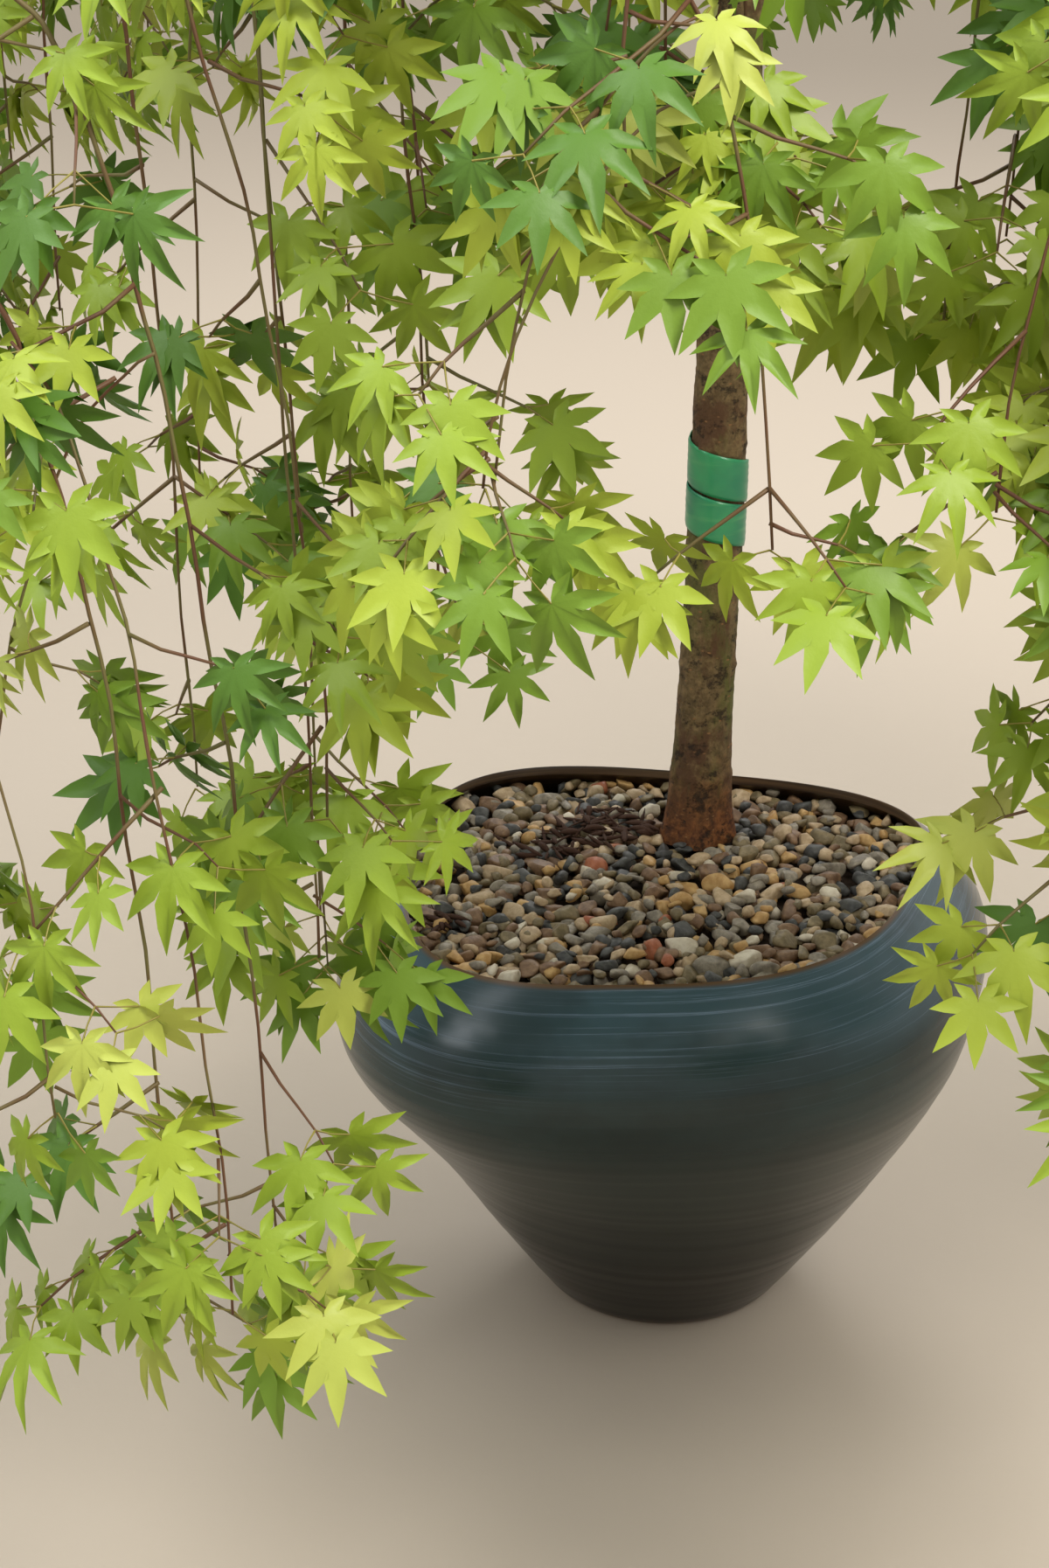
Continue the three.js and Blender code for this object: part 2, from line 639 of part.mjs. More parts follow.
// True where a leaf keeps to the space, clear of the limbs and apart from the leaves before it.
function leafFits(mass, leaf, placed, samples) {
  if (!leaf.corners) return false;
  if (placed.some((other) => other.distanceTo(leaf.hub) < LEAF_APART)) return false;
  if (!leaf.corners.every((corner) => insideSpace(mass, corner))) return false;
  const halfway = leaf.corners.map((corner) => corner.clone().lerp(leaf.hub, 0.5));
  return [...leaf.corners, ...halfway].every((point) => clearOfLimbs(point, samples));
}

// A limb's leaves stand to its two sides in turn. A leaf that doesn't fit is turned a few times, then left out.
function growLeaves(mass, limb, placed, samples, draw) {
  const count = Math.floor(limbLength(limb) / mass.spacing);
  const leaves = [];
  for (let i = 0; i <= count; i += 1) {
    const along = mix(FIRST_LEAF, LAST_LEAF, (i + 0.5) / (count + 0.5));
    for (let attempt = 0; attempt < LEAF_TRIES; attempt += 1) {
      const side = (i + attempt) % 2 === 0 ? 1 : -1;
      const leaf = placeLeaf(limb, along, side, draw);
      if (leafFits(mass, leaf, placed, samples)) {
        placed.push(leaf.hub);
        leaves.push(leaf);
        break;
      }
    }
  }
  return leaves;
}

// The strand that fits the mass's space, or none. A strand that doesn't is drawn again a few times.
function fittingStrand(mass, stem, k, samples, draw) {
  for (let attempt = 0; attempt < STRAND_TRIES; attempt += 1) {
    const strand = growStrand(mass, stem, k, draw);
    const places = limbSamples(strand).slice(1);
    if (places.every(({ point }) => insideSpace(mass, point) && clearOfLimbs(point, samples))) return strand;
  }
  return null;
}

// Keeps the largest closed shell of a solid, so that a sealed hollow is filled and a loose scrap is dropped.
function largestShell(solid) {
  const { vertProperties, triVerts } = solid.getMesh();
  const leader = Array.from({ length: vertProperties.length / 3 }, (_, i) => i);
  const find = (i) => {
    let top = i;
    while (leader[top] !== top) top = leader[top];
    leader[i] = top;
    return top;
  };
  for (let i = 0; i < triVerts.length; i += 3) {
    leader[find(triVerts[i + 1])] = find(triVerts[i]);
    leader[find(triVerts[i + 2])] = find(triVerts[i]);
  }
  const shells = new Map();
  for (let i = 0; i < triVerts.length; i += 3) {
    const shell = find(triVerts[i]);
    if (!shells.has(shell)) shells.set(shell, []);
    shells.get(shell).push(...triVerts.slice(i, i + 3));
  }
  const geometries = [...shells.values()].map((corners) => {
    const geometry = new THREE.BufferGeometry();
    geometry.setAttribute("position", new THREE.BufferAttribute(new Float32Array(vertProperties), 3));
    return geometry.setIndex(corners);
  });
  const volumes = geometries.map(signedVolume);
  return toSolid(geometries[volumes.indexOf(Math.max(...volumes))]);
}

// A mass of foliage as one solid: its stem with the strands joined on, and leaves on the strands and then the stem.
function makeFoliage(mass, stem, samples, draw) {
  let solid = limbSolid(stem, STEM_SIDES);
  const strands = Array.from({ length: mass.strands }, (_, k) => fittingStrand(mass, stem, k, samples, draw));
  for (const strand of strands.filter(Boolean)) solid = solid.add(limbSolid(strand, STRAND_SIDES));
  const placed = [];
  [...strands, stem].forEach((limb, k) => {
    if (!limb) return;
    const leafDraw = seededDraws(mass.seed * SEEDS_PER_MASS + k);
    for (const leaf of growLeaves(mass, limb, placed, samples, leafDraw)) {
      solid = solid.add(leafSolid(leaf.corners));
    }
  });
  return largestShell(solid);
}

function buildPlant() {
  const plant = new THREE.Group();
  plant.add(toMesh("pot", makePot(), COLOURS.pot));
  plant.add(toMesh("soil", makeSoil(), COLOURS.soil));
  plant.add(toMesh("gravel", makeGravel(), COLOURS.gravel));
  plant.add(toMesh("trunk", makeTrunk(), COLOURS.bark));
  plant.add(toMesh("tie_tape", makeTape(), COLOURS.tape));

  const trunkRoom = makeTrunk(GAP);
  const grown = MASSES.map((mass) => {
    const draw = seededDraws(mass.seed);
    const bough = growBough(mass, draw);
    return { mass, draw, bough, stem: growStem(mass, bough, draw) };
  });
  const samples = grown.flatMap(({ bough }) => limbSamples(bough));
  for (const { mass, draw, bough, stem } of grown) {
    const limb = limbSolid(bough, BOUGH_SIDES).subtract(trunkRoom);
    plant.add(toMesh(`bough_${mass.name}`, limb, COLOURS.bark));
    plant.add(toMesh(`foliage_${mass.name}`, makeFoliage(mass, stem, samples, draw), COLOURS.leaf));
  }
  return plant;
}

export default buildPlant();
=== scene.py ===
"""The looks of a young weeping maple in a thrown stoneware pot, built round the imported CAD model.

The crown grows by the same seeded rule as the CAD part and is carried on to finer twigs and leaves. The plant
is worked out in millimetres, and build_piece turns it into metres. Paints, studio and camera are in metres.
+Z is up, and -Y is the front.
"""

import math
from collections import namedtuple

import bmesh
import bpy
import numpy as np
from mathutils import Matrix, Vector, noise


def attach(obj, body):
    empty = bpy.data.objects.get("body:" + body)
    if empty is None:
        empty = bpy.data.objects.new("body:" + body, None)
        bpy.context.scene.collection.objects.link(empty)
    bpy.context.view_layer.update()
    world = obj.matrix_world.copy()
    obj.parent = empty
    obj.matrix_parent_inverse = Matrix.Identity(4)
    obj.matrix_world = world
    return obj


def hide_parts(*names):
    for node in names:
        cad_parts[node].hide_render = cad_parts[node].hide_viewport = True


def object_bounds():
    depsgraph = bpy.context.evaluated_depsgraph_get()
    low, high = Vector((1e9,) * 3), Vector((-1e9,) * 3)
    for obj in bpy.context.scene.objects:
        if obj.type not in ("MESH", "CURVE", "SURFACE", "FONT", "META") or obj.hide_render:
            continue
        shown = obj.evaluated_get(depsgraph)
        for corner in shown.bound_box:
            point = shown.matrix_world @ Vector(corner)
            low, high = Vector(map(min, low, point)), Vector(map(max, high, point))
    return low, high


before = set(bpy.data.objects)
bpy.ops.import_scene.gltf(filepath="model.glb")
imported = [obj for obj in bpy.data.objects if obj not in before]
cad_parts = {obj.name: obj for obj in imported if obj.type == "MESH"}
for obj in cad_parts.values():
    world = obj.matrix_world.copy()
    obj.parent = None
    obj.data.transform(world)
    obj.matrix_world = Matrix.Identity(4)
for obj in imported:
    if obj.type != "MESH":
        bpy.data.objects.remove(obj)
CAD_LOW, CAD_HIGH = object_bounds()

MM = 0.001
UP = np.array([0.0, 0.0, 1.0])
FULL_TURN = 2 * math.pi

# Pot, as in the CAD part: mean radius at each height, and the four corners that the mouth is pressed into.
POT_HEIGHT = 252
POT_HEIGHTS = [0, 4, 12, 50, 100, 140, 170, 198, 224, 240, 249, 252]
POT_RADII = [62, 66.5, 72.5, 99.6, 132.4, 160, 178, 184.5, 175, 160.5, 150, 146]
LIP_RADIUS = 146
LIP_THICKNESS = 7
POT_WALL = 9
MOUTH_FRONT_LEFT = (-145, -157)
MOUTH_FRONT_RIGHT = (87, -151)
MOUTH_BACK_RIGHT = (165, 88)
MOUTH_BACK_LEFT = (-130, 150)
MOUTH_POWER = 3
SQUARE_FROM = 67
SQUARE_FULL = 253
GRAVEL_EDGE = 238
GRAVEL_MOUND = 3

# Trunk, as in the CAD part: height, x, y and radius.
TRUNK_HEIGHTS = [240.3, 252, 285, 400, 520, 690, 820, 900, 1000, 1085]
TRUNK_X = [17, 17.5, 19, 23, 25.5, 28, 29, 27, 24, 27]
TRUNK_Y = [56, 56, 56, 56, 55, 54, 56, 58, 57, 54]
TRUNK_RADII = [21, 18.8, 16.4, 14.8, 14, 13, 12, 10.5, 8.5, 6]

# Tie tape, as in the CAD part.
TAPE_LOW = 402
TAPE_WIDTH = 23
TAPE_TURN_RISE = 24.5
TAPE_TURNS = 2
TAPE_START = math.pi / 2

# Limbs, as in the CAD part.
GAP = 0.3
BOUGH_STEPS = 6
BOUGH_THINNER = 0.62
BOUGH_TIP_RADIUS = 4.6
BOUGH_SWAY = 4
BOUGH_CLIMB_OUT = 0.3
BOUGH_CLIMB_UP = 0.62
BOUGH_LEVEL = 0.4
STEM_STEPS = 7
STEM_RADIUS = 4.3
STEM_TIP_RADIUS = 2.6
STEM_SWAY = 0.3
STEM_ARCH = 0.55
STEM_FALL = 0.55
STRAND_STEPS = 4
STRAND_THINNER = 0.58
STRAND_TIP_RADIUS = 1.5
STRAND_SPREAD = 0.72
STRAND_TRIES = 5
STRAND_FIRST = 0.1
STRAND_RUN = 0.82
STRAND_INNERMOST = 0.2
STRAND_SCATTER = 0.3
STRAND_SHORTEST = 20
REACH_SCATTER = 50
REACH_INWARD = 0.3
HEM_SCATTER = 50
STRAND_LIFT = 14
STRAND_LIFT_SHARE = 0.1
STRAND_SWING = 0.5
STRAND_TUCK = 0.08
STRAND_HANG = 0.6
INNER_LIFT = 230
GOLDEN = 0.618034
SAMPLE_STEPS = 24
LIMB_CLEARANCE = 12

# Crown, as in the CAD part.
CROWN_AXIS = np.array([25.0, 56.0])
SPLIT_HEIGHT = 1085
SPLIT_SLOPE = 0.3
SPACE_MARGIN = 2
CONE_MARGIN = 4
LOWEST_LEAF = 90
UPPER_DROOP_LOW = 12
UPPER_DROOP_RANGE = 55
HANGING_CREST = (245, 988)
UPPER_CREST = (75, 1122)

# A mass has a sector in degrees, a seed, the height of its fork on the trunk, its stem's tip as reach and
# height, its hem's height at one side, in the middle and at the other, and a number of strands. On top of the
# crown it has no hem.
Mass = namedtuple("Mass", "name sector seed fork tip hem strands")
MASSES = [
    Mass("front_left", (226, 254), 324, 872, (600, 470), (340, 270, 120), 7),
    Mass("front", (254, 272), 407, 905, (500, 700), (420, 670, 540), 5),
    Mass("front_right", (272, 314), 273, 850, (540, 540), (380, 350, 400), 7),
    Mass("right", (314, 360), 41, 890, (590, 600), (400, 415, 430), 5),
    Mass("back_right", (0, 45), 53, 860, (570, 690), (450, 485, 520), 5),
    Mass("back", (45, 90), 67, 900, (560, 720), (560, 580, 600), 5),
    Mass("back_left", (90, 135), 71, 865, (555, 710), (600, 560, 520), 5),
    Mass("left", (135, 180), 83, 895, (590, 630), (480, 450, 420), 5),
    Mass("left_front", (180, 226), 97, 834, (590, 560), (400, 380, 360), 5),
    Mass("upper_front", (225, 315), 103, 985, (440, 1040), None, 6),
    Mass("upper_right", (315, 405), 114, 1030, (450, 1030), None, 6),
    Mass("upper_back", (45, 135), 127, 1000, (440, 1035), None, 6),
    Mass("upper_left", (135, 225), 139, 1045, (450, 1040), None, 6),
]
FOLIAGE_NODES = [f"foliage_{mass.name}" for mass in MASSES]

# Forks of the strands. Pairs of numbers are ranges that a draw picks from.
FORKS_PER_STRAND = 2
FORK_SHARES = (0.08, 0.62)
FORK_DROP = (0.55, 1.0)
FORK_ASIDE = (30, 95)
FORK_OUT = (-45, 40)
FORK_SWING = 0.5
FORK_DIP = 0.06
FORK_TUCK = 0.1
FORK_HANG = 0.5
FORK_THINNER = 0.7
FORK_TIP_RADIUS = 0.8

# Side twigs. They spring from a strand all along it and once more at its end, the two starts given here.
# A drop is a twig's fall in its own lengths, and a negative one rises. The radii are those of root and tip.
STRAND_TWIG_SPACING = 50
STRAND_TWIG_DROP = (0.25, 0.7)
STRAND_TWIGS_FROM = (0.1, 0.93)
STEM_TWIG_SPACING = 36
STEM_TWIG_DROP = (-0.2, 0.35)
TOP_TWIG_SPACING = 24
TOP_TWIG_DROP = (-0.3, 0.25)
TOP_TWIG_LENGTH = (80, 150)
TOP_BOUGH_FROM = 0.2
TWIG_SEED_STEP = 1000
TWIG_LENGTH = (45, 100)
TWIG_RADII = (0.95, 0.5)
TWIG_TRIES = 4
TWIG_TURN = (-0.7, 1.15)
TWIG_SHORTER = 0.72
TWIG_SPAN = (0.62, 0.9)
TWIG_LEAVING = 0.26
TWIG_BEND = 0.2
LAST_TWIG = 0.98

# Seeds of the finer growth in front, and forks and twig spacings on strands and stem where the curtain opens.
TWIG_SEEDS = {"front_left": 324078, "front": 407486, "front_right": 273066}
OPEN_CURTAIN = {"front_left": (1, 75, 60)}

# Leaves: where their pairs stand on a twig, and their sizes.
TWIG_LEAVES = (0.42, 0.72, 1.0)
SHORT_TWIG = 60
LONG_TWIG = 112
LONG_TWIG_LEAVES = (0.28, 0.46, 0.64, 0.82, 1.0)
LEAF_STALK = 18
STALK_SIZES = (0.75, 1.2)
LEAF_LENGTH = 28
LEAF_SIZES = (0.78, 1.14)
LEAF_CLEARANCE = 3
LEAF_SHAPES = 8
UPRIGHT = 0.01

# Each direction of a leaf is summed from three others, with shares drawn from these ranges.
STALK_SHARES = [(0.5, 1.0), (0.25, 0.8), (-0.3, 0.35)]
BLADE_SHARES = [(0.3, 0.7), (0.0, 0.4), (0.35, 1.1)]
FACE_SHARES = [(0.45, 1.0), (0.35, 1.0), (-0.45, 0.45)]


def mix(a, b, share):
    return a + (b - a) * share


def unit(vector):
    return vector / math.sqrt(vector @ vector)


def smooth_step(low, high, value):
    share = np.clip((value - low) / (high - low), 0, 1)
    return share * share * (3 - 2 * share)


def smooth_rows(heights, values, at):
    """Values read off at heights between the rows of a table, on a smooth curve through them."""
    heights, values = np.asarray(heights, float), np.asarray(values, float)
    slopes = np.gradient(values, heights)
    at = np.clip(np.asarray(at, float), heights[0], heights[-1])
    row = np.clip(np.searchsorted(heights, at, side="right") - 1, 0, len(heights) - 2)
    span = heights[row + 1] - heights[row]
    t = (at - heights[row]) / span
    rise, fall = t * t * (3 - 2 * t), 1 - t * t * (3 - 2 * t)
    bend = t * (1 - t) * ((1 - t) * slopes[row] - t * slopes[row + 1]) * span
    return fall * values[row] + rise * values[row + 1] + bend


def seeded_draws(seed):
    """Random numbers from 0 to 1, the same as the CAD part draws for this seed."""
    full = 0xFFFFFFFF
    state = seed & full

    def draw():
        nonlocal state
        state = (state + 0x6D2B79F5) & full
        mixed = ((state ^ (state >> 15)) * (state | 1)) & full
        mixed ^= (mixed + (((mixed ^ (mixed >> 7)) * (mixed | 61)) & full)) & full
        return ((mixed ^ (mixed >> 14)) & full) / 4294967296

    return draw


class Limb:
    """A tapering limb on a cubic curve. The rule reads it in straight steps, its mesh follows the curve."""

    def __init__(self, start, start_handle, end_handle, end, steps, radius, tip_radius):
        self.handles = np.array([start, start_handle, end_handle, end], float)
        self.radius = radius
        self.tip_radius = tip_radius
        self.points = self.curve(np.linspace(0, 1, steps + 1))

    def curve(self, share):
        t = np.asarray(share, float)[..., None]
        a, b, c, d = self.handles
        return (1 - t) ** 3 * a + 3 * (1 - t) ** 2 * t * b + 3 * (1 - t) * t**2 * c + t**3 * d

    def stepped(self, share):
        """Place and radius on the straight steps, as the CAD part reads them."""
        along = share * (len(self.points) - 1)
        step = min(int(along), len(self.points) - 2)
        place = mix(self.points[step], self.points[step + 1], along - step)
        return place, mix(self.radius, self.tip_radius, share)

    def direction(self, share):
        return unit(self.curve(min(share + 0.01, 1)) - self.curve(max(share - 0.01, 0)))

    def length(self):
        return float(np.linalg.norm(np.diff(self.points, axis=0), axis=1).sum())

    def begun_at(self, start):
        """The same limb, with its start moved onto the smooth curve of its carrier."""
        a, b, c, d = self.handles
        moved = start - a
        return Limb(start, b + moved, c, d, len(self.points) - 1, self.radius, self.tip_radius)


def trunk_row(values, height):
    return float(np.interp(height, TRUNK_HEIGHTS, values))


def trunk_centre(height):
    return np.array([trunk_row(TRUNK_X, height), trunk_row(TRUNK_Y, height), height])


def crown_point(degrees, reach, height):
    angle = math.radians(degrees)
    x, y = CROWN_AXIS + reach * np.array([math.cos(angle), math.sin(angle)])
    return np.array([x, y, height])


def outward_at(point):
    return unit(np.array([*(point[:2] - CROWN_AXIS), 0.0]))


def crest_of(mass):
    return UPPER_CREST if mass.hem is None else HANGING_CREST


def grow_bough(mass, draw):
    reach, height = crest_of(mass)
    middle = mix(*mass.sector, 0.5)
    end = crown_point(middle + (draw() - 0.5) * BOUGH_SWAY, reach, height)
    start = trunk_centre(mass.fork)
    outward = outward_at(end)
    climb = start + outward * reach * BOUGH_CLIMB_OUT + UP * (end[2] - start[2]) * BOUGH_CLIMB_UP
    level = end - outward * reach * BOUGH_LEVEL
    radius = trunk_row(TRUNK_RADII, mass.fork) * BOUGH_THINNER
    return Limb(start, climb, level, end, BOUGH_STEPS, radius, BOUGH_TIP_RADIUS)


def grow_stem(mass, bough, draw):
    middle = mix(*mass.sector, 0.5 + (draw() - 0.5) * STEM_SWAY)
    end = crown_point(middle, *mass.tip)
    along = unit(bough.points[-1] - bough.points[-2])
    start = bough.points[-1] + along * GAP
    over = start + along * (mass.tip[0] - crest_of(mass)[0]) * STEM_ARCH
    turn = end + UP * (start[2] - end[2]) * STEM_FALL
    return Limb(start, over, turn, end, STEM_STEPS, STEM_RADIUS, STEM_TIP_RADIUS)


def upper_hem(reach, loose):
    return SPLIT_HEIGHT - SPLIT_SLOPE * reach + UPPER_DROOP_LOW + loose * UPPER_DROOP_RANGE


def hanging_hem(mass, across, order, loose):
    hem = np.interp(across, (0, 0.5, 1), mass.hem)
    return hem + INNER_LIFT * (1 - order) + (loose - 0.5) * HEM_SCATTER


def grow_strand(mass, stem, k, draw):
    order = (k + 0.5) / mass.strands
    across = (0.5 + k * GOLDEN + (draw() - 0.5) * STRAND_SCATTER) % 1
    degrees = mix(*mass.sector, 0.5 + (across - 0.5) * STRAND_SPREAD)
    placed = mix(crest_of(mass)[0], mass.tip[0], mix(STRAND_INNERMOST, 1, order))
    reach = placed + (draw() - REACH_INWARD) * REACH_SCATTER
    loose = draw()
    start, radius = stem.stepped(STRAND_FIRST + STRAND_RUN * order)
    low = upper_hem(reach, loose) if mass.hem is None else hanging_hem(mass, across, order, loose)
    end = crown_point(degrees, reach, min(low, start[2] - STRAND_SHORTEST))
    drop = start[2] - end[2]
    swing = np.array([end[0] - start[0], end[1] - start[1], 0.0])
    over = start + swing * STRAND_SWING + UP * min(STRAND_LIFT, drop * STRAND_LIFT_SHARE)
    hang = end - swing * STRAND_TUCK + UP * drop * STRAND_HANG
    strand = Limb(start, over, hang, end, STRAND_STEPS, radius * STRAND_THINNER, STRAND_TIP_RADIUS)
    strand.share = STRAND_FIRST + STRAND_RUN * order
    return strand


def inside_space(mass, points):
    """True where every point keeps to the mass's own sector and to its side of the cone."""
    x, y, z = points[:, 0] - CROWN_AXIS[0], points[:, 1] - CROWN_AXIS[1], points[:, 2]
    first, last = (math.radians(degrees) for degrees in mass.sector)
    past_first = y * math.cos(first) - x * math.sin(first)
    before_last = x * math.sin(last) - y * math.cos(last)
    if min(past_first.min(), before_last.min()) < SPACE_MARGIN:
        return False
    above_cone = z + SPLIT_SLOPE * np.hypot(x, y) - SPLIT_HEIGHT
    if mass.hem is None:
        return bool((above_cone > CONE_MARGIN).all())
    return bool((above_cone < -CONE_MARGIN).all() and (z > LOWEST_LEAF).all())


def limb_samples(limb):
    """Points along a limb with its radius there."""
    rows = [limb.stepped(i / SAMPLE_STEPS) for i in range(SAMPLE_STEPS + 1)]
    return np.array([[*point, radius] for point, radius in rows])


def clear_of_limbs(points, samples, clearance=LIMB_CLEARANCE):
    apart = np.linalg.norm(points[:, None, :] - samples[None, :, :3], axis=2)
    return bool((apart > samples[None, :, 3] + clearance).all())


def fitting_strand(mass, stem, k, samples, draw):
    for _ in range(STRAND_TRIES):
        strand = grow_strand(mass, stem, k, draw)
        places = limb_samples(strand)[1:, :3]
        if inside_space(mass, places) and clear_of_limbs(places, samples):
            return strand
    return None


def grow_fork(strand, draw):
    """A finer strand that leaves a strand part way down and hangs beside it."""
    share = mix(*FORK_SHARES, draw())
    start = strand.curve(share)
    outward = outward_at(start)
    aside = np.cross(UP, outward) * (1 if draw() < 0.5 else -1)
    drop = (start[2] - strand.points[-1][2]) * mix(*FORK_DROP, draw())
    away = aside * mix(*FORK_ASIDE, draw()) + outward * mix(*FORK_OUT, draw())
    end = start + away - UP * drop
    over = start + away * FORK_SWING - UP * drop * FORK_DIP
    hang = end - away * FORK_TUCK + UP * drop * FORK_HANG
    radius = mix(strand.radius, strand.tip_radius, share) * FORK_THINNER
    return Limb(start, over, hang, end, STRAND_STEPS, radius, FORK_TIP_RADIUS)


def grow_twig(limb, share, side, drop, reach, draw):
    """A side twig that sweeps forward and out. Drop and reach are ranges of its fall and length."""
    start = limb.curve(share)
    onward = limb.direction(share)
    outward = outward_at(start)
    turn = mix(*TWIG_TURN, draw())
    aside = np.cross(UP, outward) * side * math.cos(turn) + outward * math.sin(turn)
    length = mix(*reach, draw()) * mix(1.0, TWIG_SHORTER, share)
    end = start + aside * length * mix(*TWIG_SPAN, draw()) - UP * length * mix(*drop, draw())
    over = start + aside * length * TWIG_LEAVING + onward * length * TWIG_BEND
    hang = end + UP * length * TWIG_BEND - aside * length * TWIG_BEND
    return Limb(start, over, hang, end, STRAND_STEPS, *TWIG_RADII)


def drawn_way(ways, ranges, draw):
    return unit(sum(way * mix(*shares, draw()) for way, shares in zip(ways, ranges)))


def place_leaf(leaves, root, along, side, tint, draw, room):
    """Adds a leaf: hub, root of the stalk, the leaf's three directions, its size, shape and tint."""
    outward = outward_at(root)
    across = np.cross(along, UP)
    if across @ across < UPRIGHT:
        across = np.cross(outward, UP)
    across = unit(across) * side
    stalk = drawn_way((across, along, UP), STALK_SHARES, draw)
    hub = root + stalk * LEAF_STALK * mix(*STALK_SIZES, draw())
    blade = drawn_way((stalk, outward, -UP), BLADE_SHARES, draw)
    face = drawn_way((outward, UP, across), FACE_SHARES, draw)
    face = unit(face - blade * (face @ blade))
    size = LEAF_LENGTH * mix(*LEAF_SIZES, draw())
    tips = np.array([hub, hub + blade * size])
    shape = int(draw() * LEAF_SHAPES)
    if inside_box(tips) and clear_of_limbs(tips, room, LEAF_CLEARANCE):
        leaves.append((hub, root, np.cross(blade, face), blade, face, size, shape, tint))


def inside_box(points):
    low, high = np.array(CAD_LOW) / MM, np.array(CAD_HIGH) / MM
    return bool((points > low).all() and (points < high).all() and (points[:, 2] > LOWEST_LEAF).all())


# Leaf colours, each with the upper end of its share of the draws.
TINTS = {
    "lime": ((0.36, 0.45, 0.035), 0.3),
    "fresh": ((0.27, 0.38, 0.025), 0.62),
    "green": ((0.17, 0.29, 0.02), 0.82),
    "deep": ((0.09, 0.2, 0.018), 0.92),
    "pale": ((0.44, 0.5, 0.08), 1.0),
}


def tint_of(share):
    return next(name for name, (_, upto) in TINTS.items() if share <= upto)


def leaf_twig(twig, leaves, draw, room):
    """Pairs of leaves along a side twig and at its end."""
    tint = tint_of(draw())
    length = twig.length()
    for share in LONG_TWIG_LEAVES if length > LONG_TWIG else TWIG_LEAVES:
        if share < 0.5 and length < SHORT_TWIG:
            continue
        for side in (1, -1):
            place_leaf(leaves, twig.curve(share), twig.direction(share), side, tint, draw, room)


def grow_twigs(limb, first, spacing, drop, draw, reach=TWIG_LENGTH):
    """Side twigs along a limb from its first share on. One that leaves the crown's box is drawn again."""
    count = max(int(limb.length() * (1 - first) / spacing), 2)
    twigs = []
    for i in range(count):
        for attempt in range(TWIG_TRIES):
            share = mix(first, LAST_TWIG, (i + draw()) / count)
            twig = grow_twig(limb, share, 1 if (i + attempt) % 2 else -1, drop, reach, draw)
            if inside_box(twig.points):
                twigs.append(twig)
                break
    return twigs


def hung_limbs(mass, stem, forks, samples, draw, fine):
    """The strands of a mass, each followed by its finer forks."""
    hung = []
    for k in range(mass.strands):
        strand = fitting_strand(mass, stem, k, samples, draw)
        if strand is None:
            continue
        smooth = strand.begun_at(stem.curve(strand.share))
        hung.append(smooth)
        for _ in range(forks):
            fork = grow_fork(smooth, fine)
            if inside_box(fork.points) and inside_space(mass, fork.points[1:]):
                hung.append(fork)
    return hung


def grow_crown():
    """All limbs of the crown by kind, and the leaves on them."""
    boughs, shoots, twigs, leaves = [], [], [], []
    grown = []
    for mass in MASSES:
        draw = seeded_draws(mass.seed)
        bough = grow_bough(mass, draw)
        grown.append((mass, draw, bough, grow_stem(mass, bough, draw)))
        boughs.append(bough)
    samples = np.vstack([limb_samples(bough) for bough in boughs])
    for mass, draw, bough, stem in grown:
        fine = seeded_draws(TWIG_SEEDS.get(mass.name, mass.seed * TWIG_SEED_STEP))
        usual = (FORKS_PER_STRAND, STRAND_TWIG_SPACING, STEM_TWIG_SPACING)
        forks, strand_spacing, stem_spacing = OPEN_CURTAIN.get(mass.name, usual)
        hung = hung_limbs(mass, stem, forks, samples, draw, fine)
        shoots += [stem, *hung]
        sprung = grow_twigs(stem, 0.0, stem_spacing, STEM_TWIG_DROP, fine)
        for limb in hung:
            for first in STRAND_TWIGS_FROM:
                sprung += grow_twigs(limb, first, strand_spacing, STRAND_TWIG_DROP, fine)
            for side in (1, -1):
                tint = tint_of(fine())
                place_leaf(leaves, limb.curve(1.0), limb.direction(1.0), side, tint, fine, samples)
        for twig in sprung:
            leaf_twig(twig, leaves, fine, samples)
        top = seeded_draws(mass.seed * TWIG_SEED_STEP + 1)
        over_top = grow_twigs(bough, TOP_BOUGH_FROM, TOP_TWIG_SPACING, TOP_TWIG_DROP, top, TOP_TWIG_LENGTH)
        for twig in over_top:
            leaf_twig(twig, leaves, top, samples)
        twigs += sprung + over_top
    return boughs, shoots, twigs, leaves


def add_object(name, data):
    made = bpy.data.objects.new(name, data)
    bpy.context.scene.collection.objects.link(made)
    return made


def build_piece(name, material, nodes, parts):
    """One piece from parts, each with its corners and its triangles."""
    counts = [len(corners) for corners, _ in parts]
    firsts = np.cumsum(counts) - counts
    triangles = [np.asarray(faces) + first for (_, faces), first in zip(parts, firsts)]
    mesh = bpy.data.meshes.new(name)
    mesh.from_pydata(np.vstack([corners for corners, _ in parts]) * MM, [], np.vstack(triangles))
    mesh.validate()
    mesh.shade_smooth()
    mesh.materials.append(material)
    made = add_object(name, mesh)
    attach(made, "root")
    if nodes:
        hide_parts(*nodes)


def ring_triangles(rings, columns):
    """Two triangles for each cell between rings, whose last column joins their first."""
    row = np.arange(rings - 1)[:, None]
    column = np.arange(columns)[None, :]
    after = (column + 1) % columns
    a, b = row * columns + column, row * columns + after
    c, d = a + columns, b + columns
    return np.vstack([np.stack(half, axis=-1).reshape(-1, 3) for half in ((a, b, d), (a, d, c))])


def ring_mesh(rings):
    """Corners and triangles of a surface through rings of corners."""
    return np.vstack(rings), ring_triangles(len(rings), len(rings[0]))


# First side of every tube, turned clear of the limbs' usual directions.
TUBE_SIDE = np.array([0.31, 0.9, 0.12])


